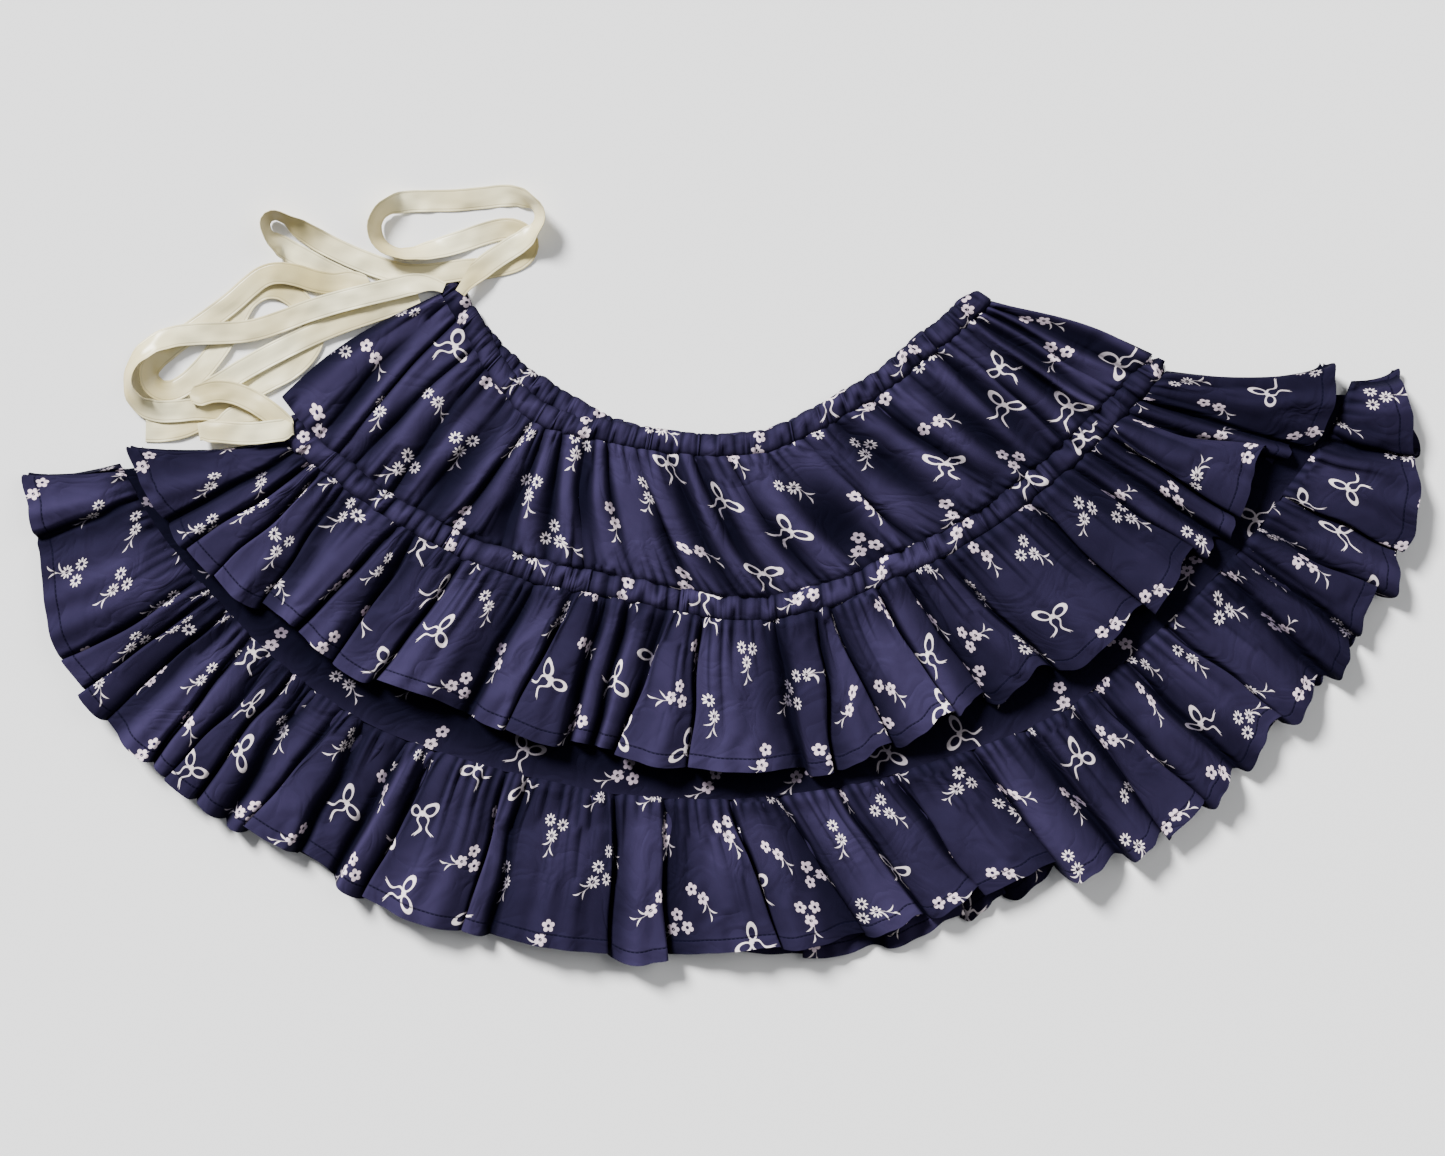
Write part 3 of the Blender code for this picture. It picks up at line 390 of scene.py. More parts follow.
class SkirtRibbonSettings(bpy.types.PropertyGroup):
    """Sizes and colours of the drawstring."""

    # Ivory and pale ivory are the ends of the satin's painted sheen: pale ivory is a painted highlight
    ivory: colour_setting("Ivory", "Colour of the satin in its dull parts", (0.55, 0.45, 0.19, 1.0))
    pale: colour_setting("Pale ivory", "Colour of the satin where it shines", (0.98, 0.92, 0.62, 1.0))
    width: length_setting("Ribbon width", "Width of the ribbon", 0.015)
    wall: length_setting("Ribbon wall", "Thickness of the ribbon", 0.0004)


class SkirtStageSettings(bpy.types.PropertyGroup):
    """The floor, light and camera."""

    floor_colour: colour_setting("Floor", "Colour of the floor", (0.93, 0.93, 0.93, 1.0))
    camera_height: length_setting("Camera height", "Height of the camera", 2.2)
    view_width: length_setting("View width", "Width of the floor in view", 0.9826)
    daylight: factor_setting(
        "Daylight", "Strength of the main light, from the waist side", 11.0,
    )
    side_light: factor_setting(
        "Side light", "Strength of the weaker light from the right", 1.4,
    )
    sky: factor_setting("Sky", "Strength of the light from all round", 0.2)


def mix(start, end, share):
    """Return the value that lies the given share of the way from start to end."""
    return start + (end - start) * share


def smooth_step(share):
    """Ease a share between 0 and 1."""
    share = min(max(share, 0.0), 1.0)
    return share * share * (3.0 - 2.0 * share)


def steady(index, salt=0.0):
    """Return a number between 0 and 1 that is always the same for an index and a salt."""
    return (sin(index * 12.9898 + salt * 78.233 + 1.7) * 43758.5453) % 1.0


def hermite(start, start_slope, end, end_slope, share):
    """Return a place on the smooth curve between two values with given slopes."""
    squared, cubed = share * share, share ** 3
    return (
        start * (2 * cubed - 3 * squared + 1)
        + start_slope * (cubed - 2 * squared + share)
        + end * (3 * squared - 2 * cubed)
        + end_slope * (cubed - squared)
    )


def ring(name, angle):
    """Return the distance of a named ring from the fan centre at an angle, on a smooth curve."""
    last = len(SECTIONS) - 1
    angle = min(max(angle, SECTIONS[0].angle), SECTIONS[last].angle)
    low = 0
    while low < last - 1 and SECTIONS[low + 1].angle <= angle:
        low += 1
    here, there = SECTIONS[low], SECTIONS[low + 1]
    before, after = SECTIONS[max(low - 1, 0)], SECTIONS[min(low + 2, last)]
    span = there.angle - here.angle
    slope_here = (getattr(there, name) - getattr(before, name)) / (there.angle - before.angle) * span
    slope_there = (getattr(after, name) - getattr(here, name)) / (after.angle - here.angle) * span
    share = (angle - here.angle) / span
    return hermite(getattr(here, name), slope_here, getattr(there, name), slope_there, share)


# Where a piece ends: the ring that it follows, and how far past it in layout units
Edge = namedtuple("Edge", "ring past")


def edge_at(edge, angle):
    """Return the distance of a piece's edge from the fan centre at an angle."""
    return ring(edge.ring, angle) + edge.past


def fan_point(angle, distance, height):
    """Turn a fan angle in degrees, a distance in layout units and a height into a point."""
    turn = radians(angle)
    across = FAN_CENTRE[0] + distance * sin(turn) - PLAN_CENTRE[0]
    down = FAN_CENTRE[1] + distance * cos(turn) - PLAN_CENTRE[1]
    return Vector((across * UNIT, -down * UNIT, height))


def crumple(angle, distance, size, seed):
    """Return soft cloth noise between about -1 and 1 at a place on the layout."""
    turn = radians(angle)
    across, down = distance * sin(turn) * UNIT, distance * cos(turn) * UNIT
    return noise.noise(Vector((across / size, down / size, seed)))


def patchy_light(angle, distance, seed, size, middle, swing):
    """Return how much light reaches a place: in soft patches, and less on the right side."""
    patches = middle + swing * crumple(angle, distance, size, seed + 20.0)
    return patches * mix(1.0, RIGHT_SHADE, smooth_step((angle - SHADE_START) / SHADE_RUN))


def math_operator(operation, reflected=False):
    """Return a method that adds a Math node for one of Python's operators."""

    def method(self, *others):
        values = (*others, self) if reflected else (self, *others)
        return self.shader.math(operation, *values)

    return method


class Value:
    """A number from a shader socket that adds Math nodes when it is used in an expression."""

    def __init__(self, shader, socket):
        self.shader = shader
        self.socket = socket

    __add__ = math_operator("ADD")
    __radd__ = math_operator("ADD", reflected=True)
    __sub__ = math_operator("SUBTRACT")
    __rsub__ = math_operator("SUBTRACT", reflected=True)
    __mul__ = math_operator("MULTIPLY")
    __rmul__ = math_operator("MULTIPLY", reflected=True)
    __truediv__ = math_operator("DIVIDE")
    __pow__ = math_operator("POWER")
    __mod__ = math_operator("FLOORED_MODULO")
    __abs__ = math_operator("ABSOLUTE")
    __lt__ = math_operator("LESS_THAN")
    __gt__ = math_operator("GREATER_THAN")


class Shader:
    """Builds one material out of nodes."""

    def __init__(self, name):
        self.material = bpy.data.materials.new(name)
        self.material.use_nodes = True
        self.tree = self.material.node_tree
        self.surface = self.tree.nodes["Principled BSDF"]

    def node(self, kind, settings=None, inputs=None):
        """Add a node: its settings first, and then the values or links of its sockets."""
        node = self.tree.nodes.new(kind)
        for key, value in (settings or {}).items():
            setattr(node, key, value)
        for key, value in (inputs or {}).items():
            self.feed(node.inputs[key], value)
        return node

    def feed(self, socket, value):
        """Give a socket a link or a plain value."""
        if isinstance(value, Value):
            self.tree.links.new(value.socket, socket)
        elif isinstance(value, bpy.types.NodeSocket):
            self.tree.links.new(value, socket)
        else:
            socket.default_value = value

    def value(self, kind, settings=None, inputs=None, output=0):
        """Add a node and return one of its outputs as a number."""
        return Value(self, self.node(kind, settings, inputs).outputs[output])

    def math(self, operation, *values):
        """Add a Math node."""
        return self.value("ShaderNodeMath", {"operation": operation}, dict(enumerate(values)))

    def vector(self, operation, *values):
        """Add a Vector Math node and return its vector."""
        settings = {"operation": operation}
        return self.node("ShaderNodeVectorMath", settings, dict(enumerate(values))).outputs[0]

    def scaled(self, vector, factor):
        """Multiply a vector or a colour by a number."""
        inputs = {0: vector, "Scale": factor}
        return self.node("ShaderNodeVectorMath", {"operation": "SCALE"}, inputs).outputs[0]

    def plane(self, vector):
        """Return the X and the Y of a vector as numbers."""
        axes = self.node("ShaderNodeSeparateXYZ", None, {0: vector})
        return Value(self, axes.outputs[0]), Value(self, axes.outputs[1])

    def radius(self, x, y):
        """Return the distance of a place from the origin."""
        return self.math("SQRT", x * x + y * y)

    def blend(self, factor, first, second):
        """Mix two colours."""
        inputs = {0: factor, 6: first, 7: second}
        return self.node("ShaderNodeMix", {"data_type": "RGBA"}, inputs).outputs[2]

    def noise(self, place, scale, detail, **others):
        """Add flat noise at a place and return it as a number."""
        inputs = {"Vector": place, "Scale": scale, "Detail": detail, **others}
        return self.value("ShaderNodeTexNoise", {"noise_dimensions": "2D"}, inputs)

    def attribute(self, name):
        """Return a mesh attribute as a number."""
        return self.value("ShaderNodeAttribute", {"attribute_name": name}, output="Fac")

    def bump(self, height, strength, distance):
        """Return a normal that is bent by a height."""
        inputs = {"Strength": strength, "Distance": distance, "Height": height}
        return self.node("ShaderNodeBump", None, inputs).outputs[0]

    def soft(self, value):
        """Turn a distance of about a millimetre a unit, positive inside, into a soft-edged mask."""
        settings = {"operation": "MULTIPLY", "use_clamp": True}
        return self.value("ShaderNodeMath", settings, {0: value, 1: 3.0})

    def most(self, *values):
        """Return the largest of some values."""
        result = values[0]
        for value in values[1:]:
            result = self.math("MAXIMUM", result, value)
        return result

    def finish(self, **inputs):
        """Set the Principled shader's inputs and return the material."""
        for key, value in inputs.items():
            name = key.replace("_", " ").title().replace("Ior", "IOR")
            self.feed(self.surface.inputs[name], value)
        return self.material


def flower_masks(shader, x, y, daisy, chance):
    """Return the mask of two or three flowers around a cluster centre.

    The angle around the cluster is folded in three, so that one flower's maths makes them all.
    """
    third = 2.0 * pi / 3.0
    cluster_x = x - CLUSTER_AHEAD
    cluster_r = shader.radius(cluster_x, y)
    spoke = shader.math("ARCTAN2", y, cluster_x)
    folded = spoke % third - third / 2.0
    flower_x = cluster_r * shader.math("COSINE", folded) - FLOWER_SPACING
    flower_y = cluster_r * shader.math("SINE", folded)
    flower_r = shader.radius(flower_x, flower_y)
    petal_turn = shader.math("ARCTAN2", flower_y, flower_x) * (daisy * 2.0 + 2.5)
    petal = abs(shader.math("COSINE", petal_turn)) ** (daisy * 0.6 + 0.6)
    notch = daisy * -0.22 + 0.50
    reach = (notch + petal * (1.0 - notch)) * FLOWER_RADIUS
    flowers = shader.soft(reach - flower_r) * shader.soft(flower_r - 1.2 - daisy * 0.3)
    only_two = chance < TWO_FLOWER_CHANCE
    return flowers * (1.0 - only_two * (spoke < 0.0) * (spoke > -third))


def leaf_mask(shader, x, y, base, turn, length, bend):
    """Return the mask of a slim curved leaf that starts at base and points along turn, in degrees."""
    ahead, aside = cos(radians(turn)), sin(radians(turn))
    along = x * ahead + y * aside - (base[0] * ahead + base[1] * aside)
    across = y * ahead - x * aside - (base[1] * ahead - base[0] * aside)
    half = along / (length / 2.0) - 1.0
    bulge = 1.0 - half * half
    return shader.soft(bulge * LEAF_HALF_WIDTH - abs(across - bulge * bend))


def bow_mask(shader, x, y):
    """Return the mask of a bow with two loops, a knot and two wavy tails."""
    mirrored = abs(x)
    loop_x, loop_y = mirrored - LOOP_CENTRE[0], y - LOOP_CENTRE[1]
    wide = (loop_x * LOOP_TILT[0] + loop_y * LOOP_TILT[1]) / LOOP_REACH[0]
    tall = (loop_y * LOOP_TILT[0] - loop_x * LOOP_TILT[1]) / LOOP_REACH[1]
    around = abs(shader.radius(wide, tall) - 0.78)
    loop = shader.soft((0.20 + wide * 0.10 - around) * 5.0)
    knot = shader.soft(KNOT_RADIUS - shader.radius(x, y))
    down = -1.0 * y
    wave = down * TAIL_WAVE
    tail_line = abs(mirrored - 0.4 - down * 0.38 - shader.math("SINE", wave) * 2.0)
    tail_width = shader.math("COSINE", wave) * 0.35 + 1.0
    tail = shader.soft(tail_width - tail_line) * shader.soft(down)
    tail = tail * shader.soft(TAIL_LENGTH + tail_line * 1.8 - down)
    return shader.most(loop, knot, tail)


def motif_layer(shader, place, spacing, shift):
    """Add one layer of scattered motifs: daisy sprigs, blossom sprigs and bows.

    Motif maths is in motif units, a little under a millimetre, with the stem along x. Returns
    the motif mask and the share of it that is blossom.
    """
    moved = shader.vector("ADD", place, shift)
    inputs = {"Vector": moved, "Scale": 1.0 / spacing, "Randomness": SCATTER}
    cells = shader.node("ShaderNodeTexVoronoi", {"voronoi_dimensions": "2D"}, inputs)
    chances = shader.node("ShaderNodeSeparateColor", None, {0: cells.outputs["Color"]}).outputs
    kind = Value(shader, chances[2])
    daisy = kind < DAISY_CHANCE
    bow_kind = kind > NO_BOW_CHANCE
    turn = (Value(shader, chances[0]) - 0.5) * 2.8 - (1.0 - bow_kind) * (pi / 2.0)
    inputs = {"Vector": shader.vector("SUBTRACT", moved, cells.outputs["Position"]), "Angle": turn}
    turned = shader.node("ShaderNodeVectorRotate", {"rotation_type": "Z_AXIS"}, inputs).outputs[0]
    x, y = shader.plane(shader.scaled(turned, MOTIF_UNITS))

    flowers = flower_masks(shader, x, y, daisy, Value(shader, chances[1]))
    bend = y - shader.math("SINE", x * 0.24) * 1.3
    stem = shader.soft(0.27 - abs(bend)) * shader.soft(x + STEM_BASE) * shader.soft(5.0 - x)
    leaves = shader.most(*(leaf_mask(shader, x, y, *leaf) for leaf in LEAVES))
    sprig = shader.most(flowers, stem, leaves)
    mask = sprig + (bow_mask(shader, x, y) - sprig) * bow_kind
    return mask, flowers * (1.0 - daisy) * (1.0 - bow_kind)


def cotton(name, settings, hemmed):
    """Return printed cotton: weave, scattered motifs, crests painted lighter and a stitched hem."""
    shader = Shader(name)
    place = shader.node("ShaderNodeUVMap", {"uv_map": "cloth"}).outputs[0]
    along, up = shader.plane(place)
    spacing = settings.sprig_spacing
    first, first_blossom = motif_layer(shader, place, spacing, (*PRINT_START, 0.0))
    shift = (PRINT_START[0] + 3.5 * spacing, PRINT_START[1] + 5.5 * spacing, 0.0)
    second, second_blossom = motif_layer(shader, place, spacing, shift)
    motif = shader.most(first, second)
    blossom = shader.most(first_blossom, second_blossom)

    mottle = shader.noise(place, 45.0, 3.0, Roughness=0.6)
    # Painted shade and light: the navy ground is painted darker in hollows and lighter on crests, as the
    # mesh attribute says
    painted_lightness = shader.math("SMOOTH_MIN", shader.attribute("painted_light") * 1.15, 1.0, 0.2)
    ground = shader.scaled(settings.navy[:3], (painted_lightness ** 1.9 + 0.07) * (mottle * 0.4 + 0.8))
    motif_colour = shader.blend(blossom, settings.cream, settings.blush)
    # The print is painted towards navy where it lies in painted shade
    motif_colour = shader.blend((1.0 - painted_lightness) * 0.92, motif_colour, settings.navy)
    colour = shader.blend(motif * 0.96, ground, motif_colour)

    thread = 2.0 * pi / THREAD
    weave = shader.math("SINE", along * thread) * shader.math("SINE", up * thread)
    crease = abs(shader.noise(place, 30.0, 2.0, Distortion=0.9) - 0.5)
    height = weave * 0.5 + mottle * 1.5 + crease * 90.0
    if hemmed:
        stitch_row = abs(up - settings.hem_depth) * MILLIMETRES
        dash = along % settings.stitch_length < settings.stitch_length * 0.68
        stitch = shader.soft(0.5 - stitch_row) * dash
        groove = shader.soft(0.8 - stitch_row)
        # Painted shadow in the hem's stitched groove and on its stitches
        colour = shader.blend(groove * 0.42 + stitch * 0.5, colour, STITCH_SHADOW)
        height = height + stitch * 3.0 - groove * 9.0
    return shader.finish(
        base_color=colour,
        roughness=0.78 - motif * 0.08,
        normal=shader.bump(height, 0.55, COTTON_RELIEF),
        specular_ior_level=0.1,
        specular_tint=COTTON_GLOSS,
    )


def satin(name, settings):
    """Return ivory satin ribbon with a painted sheen in patches along it and woven edges."""
    shader = Shader(name)
    place = shader.node("ShaderNodeUVMap", {"uv_map": "cloth"}).outputs[0]
    along, across = shader.plane(place)
    half = settings.width / 2.0
    from_edge = (half - abs(across - half)) * MILLIMETRES
    edge_line = shader.soft(0.55 - abs(from_edge - 1.5)) * 0.8 + shader.soft(0.3 - from_edge)
    selvedge = shader.soft(1.0 - from_edge)
    streaks = shader.noise(shader.vector("MULTIPLY", place, (18.0, 900.0, 1.0)), 1.0, 2.0)
    waves = shader.noise(shader.vector("MULTIPLY", place, (38.0, 60.0, 1.0)), 1.0, 1.0)
    clouds = shader.noise(place, 30.0, 2.0)
    # Painted sheen: the satin is painted pale ivory in patches and darker where it stands on edge
    painted_sheen = shader.attribute("painted_light") * 0.85 + clouds * 0.3 - 0.1
    shaded = tuple(0.6 * part for part in settings.ivory[:3]) + (1.0,)
    colour = shader.blend(painted_sheen, settings.ivory, settings.pale)
    colour = shader.blend(edge_line * 0.45 + streaks * 0.10, colour, shaded)
    ribs = shader.math("SINE", along * (2.0 * pi / RIB)) * selvedge
    height = streaks * 0.6 + ribs * 0.8 - edge_line * 2.0 + waves * 60.0
    return shader.finish(
        base_color=colour,
        roughness=0.36 + selvedge * 0.2,
        normal=shader.bump(height, 0.9, SATIN_RELIEF),
        sheen_weight=0.15,
        anisotropic=0.5,
        specular_ior_level=0.7,
    )


def grid_piece(name, columns, rows, place, wall, material, flat_row):
    """Make a thin piece from a grid, and return it with its width and length when laid flat.

    place(column, row) returns a corner's point, counted from left to right and from the waist
    down, and its painted light: the painted shade or light that its colour takes, from 0 in a
    hollow to 1 on an open crest. The UV map "cloth" is the piece laid flat, in metres, with its
    width measured along flat_row and its length from the bottom edge up.
    """
    corners = [[place(column, row) for row in range(rows + 1)] for column in range(columns + 1)]
    width = [0.0]
    for before, after in zip(corners, corners[1:]):
        width.append(width[-1] + (after[flat_row][0] - before[flat_row][0]).length)
    length = []
    for line in corners:
        up = [0.0]
        for row in range(rows, 0, -1):
            up.append(up[-1] + (line[row][0] - line[row - 1][0]).length)
        length.append(up[::-1])
    shape = bmesh.new()
    bmesh.ops.create_grid(shape, x_segments=columns, y_segments=rows, size=0.5)
    # Each corner's painted shade or light is kept in a mesh attribute
    painted_light_layer = shape.verts.layers.float.new("painted_light")
    where = {}
    for corner in shape.verts:
        column = round((corner.co.x + 0.5) * columns)
        row = round((0.5 - corner.co.y) * rows)
        where[corner.index] = (column, row)
        corner.co, corner[painted_light_layer] = corners[column][row]
    for edge in shape.edges:
        edge.smooth = not edge.is_boundary
    flat = shape.loops.layers.uv.new("cloth")
    for face in shape.faces:
        face.smooth = True
        for loop in face.loops:
            column, row = where[loop.vert.index]
            loop[flat].uv = (width[column], length[column][row])
    mesh = bpy.data.meshes.new(name)
    shape.to_mesh(mesh)
    shape.free()
    mesh.materials.append(material)
    piece = bpy.data.objects.new(name, mesh)
    bpy.context.scene.collection.objects.link(piece)
    solid = piece.modifiers.new("wall", "SOLIDIFY")
    solid.thickness = wall
    solid.offset = 0.0
    return piece, width[-1], length[len(length) // 2][0]


def dress(piece, node):
    """Let a piece ride with the part in place of its solid."""
    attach(piece, "root")
    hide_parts(node)


def sew(node, columns, rows, place, settings, flat_row, hemmed=False):
    name = node + "_cloth"
    material = cotton(name + "_cotton", settings, hemmed)
    piece, width, length = grid_piece(name, columns, rows, place, settings.wall, material, flat_row)
    dress(piece, node)


def valley(folds, index, share, seed):
    """Return the angle of a valley at a share of the way down, wandering a little on its way."""
    fold = folds[index]
    wander = noise.noise(Vector((share * 2.4, index * 3.7, seed)))
    inside = sin(pi * min(share * 0.9 + 0.1, 1.0)) if 0 < index < len(folds) - 1 else 0.0
    return mix(fold.top, fold.bottom, share) + 0.55 * wander * inside


def fold_place(folds, index, across, share, top, bottom, seed):
    """Return the angle and the distance of a place on a fold, and the fold's span as an angle."""
    left, right = valley(folds, index, share, seed), valley(folds, index + 1, share, seed)
    angle = mix(left, right, across)
    return angle, mix(edge_at(top, angle), edge_at(bottom, angle), share), right - left


def fold_columns(folds, distance, pitch):
    """Return the fold and the share across it of every grid column, closer together at valleys."""
    columns = []
    for index in range(len(folds) - 1):
        width = radians(folds[index + 1].bottom - folds[index].bottom) * distance * UNIT
        steps = max(LEAST_FOLD_STEPS, round(width / pitch))
        for step in range(steps):
            even = step / steps
            columns.append((index, mix(even, 0.5 - 0.5 * cos(pi * even), 0.45)))
    columns.append((len(folds) - 2, 1.0))
    return columns


def row_shares(rows):
    """Return shares of the way down a piece, closer together at its two edges."""
    shares = []
    for row in range(rows + 1):
        even = row / rows
        shares.append(mix(even, 0.5 - 0.5 * cos(pi * even), 0.75))
    return shares


def valley_leans(index):
    """Return how far the folds left and right of a valley lean over it."""
    kind = steady(index, 2)
    if kind < 0.36:
        return 0.1, 0.2
    return (1.15, 0.0) if kind < 0.68 else (0.0, 1.15)


def side_run(index, width):
    """Return the run in metres of a flute's side beside a valley."""
    return min(SIDE_RUN * mix(0.7, 1.8, steady(index, 9)), SIDE_MOST * width)


def flute_profile(index, width, across):
    """Return the crest height, from 0 to 1, and the sideways shift in metres, across a flute.

    A flute is a broad-topped fold with steep sides that bulge over the valleys beside it.
    """
    run_left, run_right = side_run(index, width), side_run(index + 1, width)
    from_left = across * width / run_left
    from_right = (1.0 - across) * width / run_right
    tilt = (steady(index, 1) - 0.5) * 1.3
    crest = smooth_step(from_left) * smooth_step(from_right)
    crest *= mix(0.5, 1.0, sin(pi * across) ** 0.8) * (1.0 + tilt * (2.0 * across - 1.0))
    lean_left = sin(pi / 2.0 * min(from_left, 2.0)) ** 2 * valley_leans(index)[1]
    lean_right = sin(pi / 2.0 * min(from_right, 2.0)) ** 2 * valley_leans(index + 1)[0]
    return crest, (lean_right * run_right - lean_left * run_left) * OVERHANG


def gather_ridges(index, across, width, share, settings):
    """Return how hollow the cloth is, from 0 to 1, and how tall, beside the gathers of a seam."""
    count = max(1, round(width / settings.gather_width))
    uneven = 0.6 * noise.noise(Vector((across * count * 0.9, index * 1.7, 2.5))) * sin(pi * across)
    phase = max(across * count + uneven, 0.0)
    pleat = int(min(phase, count - 0.001)) + index * 11
    fade_length = mix(0.14, 0.95, steady(pleat, 5) ** 1.6)
    fade = max(0.0, 1.0 - share / fade_length) ** 0.9
    ridge = abs(sin(pi * phase)) ** 0.8
    start = mix(0.1, 1.0, smooth_step(share * 18.0))
    tall = settings.gather_height * mix(0.15, 1.1, steady(pleat, 6)) * start
    return fade * (1.0 - ridge), tall * fade * ridge


def broad_waves(index, across, width, share):
    """Return the height of the soft long waves on the face of a wide flute."""
    count = max(1.0, round(width / BROAD_WAVE))
    wave = 0.5 + 0.5 * cos(2.0 * pi * (across * count + steady(index, 12) + 0.25 * share))
    return min(width / BROAD_FLUTE, 1.0) * BROAD_WAVE_HEIGHT * wave * smooth_step(share * 1.4)


def hem_swing(folds, index, across, angle, span):
    """Return how far a flute's hem lies past its ring, in layout units.

    It bows out in the middle, and swings out on one side, most of all in the right half.
    """
    bow = sin(pi * across)
    swing = sin(2.0 * pi * across) + 0.4 * sin(4.0 * pi * across)
    slant = HEM_SLANT * swing * min(span / SLANT_SPAN, 1.0)
    slant *= mix(-0.15, 1.0, smooth_step((angle + 15.0) / 50.0))
    if index == len(folds) - 2:
        slant = max(slant, 0.0)
    return folds[index].reach * bow ** 0.6 + HEM_BOW * (bow - 0.7) + slant


# Heights of a ruffle's underside: at its seam, at its hem, and at its hem beside its two ends
Heights = namedtuple("Heights", "seam hem side")


def make_ruffle(node, folds, top, bottom, heights, swell, gain, settings, seed):
    """Make one side of a ruffle, gathered at its top edge and fluted at its hem."""
    shares = row_shares(RUFFLE_ROWS)
    spots = fold_columns(folds, edge_at(bottom, 0.0), FLUTE_PITCH)
    columns = len(spots) - 1

    def place(column, row):
        share = shares[row]
        index, across = spots[column]
        angle, distance, span = fold_place(folds, index, across, share, top, bottom, seed)
        width = radians(span) * distance * UNIT
        crest, shift = flute_profile(index, width, across)
        top_width = radians(span) * edge_at(top, angle) * UNIT
        hollow, gathered = gather_ridges(index, across, top_width, share, settings)
        # Painted shade: darker in hollows and gathers, on some whole flutes, in soft patches and on the
        # right; crests painted lighter
        in_light = mix(0.6, 1.0, steady(index, seed + 30.0)) if 0.0 < across < 1.0 else 0.8
        in_light *= patchy_light(angle, distance, seed, size=0.05, middle=0.9, swing=0.3)
        painted_light = mix(0.7, crest, smooth_step(share * 2.5 + 0.3)) * (1.0 - 0.85 * hollow) * in_light

        from_side = min(angle - folds[0].bottom, folds[-1].bottom - angle)
        angle += degrees(shift / (distance * UNIT)) * share ** 0.6
        distance += hem_swing(folds, index, across, angle, span) * share ** 3
        drop = edge_at(bottom, angle) - edge_at(top, angle)
        corner = (1.0 - min(from_side / CORNER_SPAN, 1.0)) ** 2
        distance -= CORNER_CUT * drop * corner * share ** 6

        inside = smooth_step(min(column, columns - column) / SIDE_COLUMNS)
        hem_height = mix(heights.side, heights.hem, inside)
        height = mix(heights.seam, hem_height, smooth_step(share * 1.6))
        height -= SEAM_SINK * (1.0 - smooth_step(share * 20.0))
        rise = folds[index].rise / MILLIMETRES * gain
        height += rise * crest * mix(swell[0], 1.0, share ** swell[1])
        height += gathered + broad_waves(index, across, width, share) * crest
        height += FLUTE_WAVE_HEIGHT * crest * (crumple(angle, distance, SOFT_WAVE, seed) + 0.3)
        fine = crumple(angle, distance, FINE_WAVE, seed + 3.0)
        height += FINE_WAVE_HEIGHT * fine * mix(1.0, 0.6, share)
        from_hem = (edge_at(bottom, angle) - distance) * UNIT
        height += HEM_RIDGE * smooth_step((settings.hem_depth - from_hem) / HEM_RIDGE_RUN)
        wander = crumple(angle, NOISE_RING, HEM_WANDER_SIZE, seed + 7.0)
        return fan_point(angle, distance + HEM_WANDER * share ** 4 * wander, height), painted_light

    sew(node, columns, RUFFLE_ROWS, place, settings, RUFFLE_ROWS, hemmed=True)


def side_bulge(angle, share, ends):
    """Return how far a place swings out, most at the sides and halfway down, as -1 to 1."""
    from_left = smooth_step(1.0 - (angle - ends[0]) / YOKE_BULGE_SPREAD)
    from_right = smooth_step(1.0 - (ends[1] - angle) / YOKE_BULGE_SPREAD)
    return sin(pi * share) * (from_right - from_left)


def valley_depth(folds, index, share):
    """Return how deep a panel valley is at a share of the way down: each fades towards one end."""
    if index in (0, len(folds) - 1):
        return 1.0
    from_deep = share if steady(index, 16) < 0.5 else 1.0 - share
    return 1.0 - mix(0.1, 0.8, steady(index, 15)) * smooth_step((from_deep - 0.25) / 0.65)


def panel_profile(folds, index, across, share):
    """Return the height across a panel fold, from 0 to 1, and the rise that it is a share of."""
    bent = across ** mix(0.55, 2.3, steady(index, 4))
    flank = sin(pi * bent) ** mix(0.8, 1.6, steady(index, 14))
    edge, beside = (index, index - 1) if bent < 0.5 else (index + 1, index + 1)
    depth = valley_depth(folds, edge, share)
    beside = min(max(beside, 0), len(folds) - 2)
    rise = mix((folds[index].rise + folds[beside].rise) / 2.0, folds[index].rise, flank)
    return 1.0 - depth * (1.0 - flank), rise


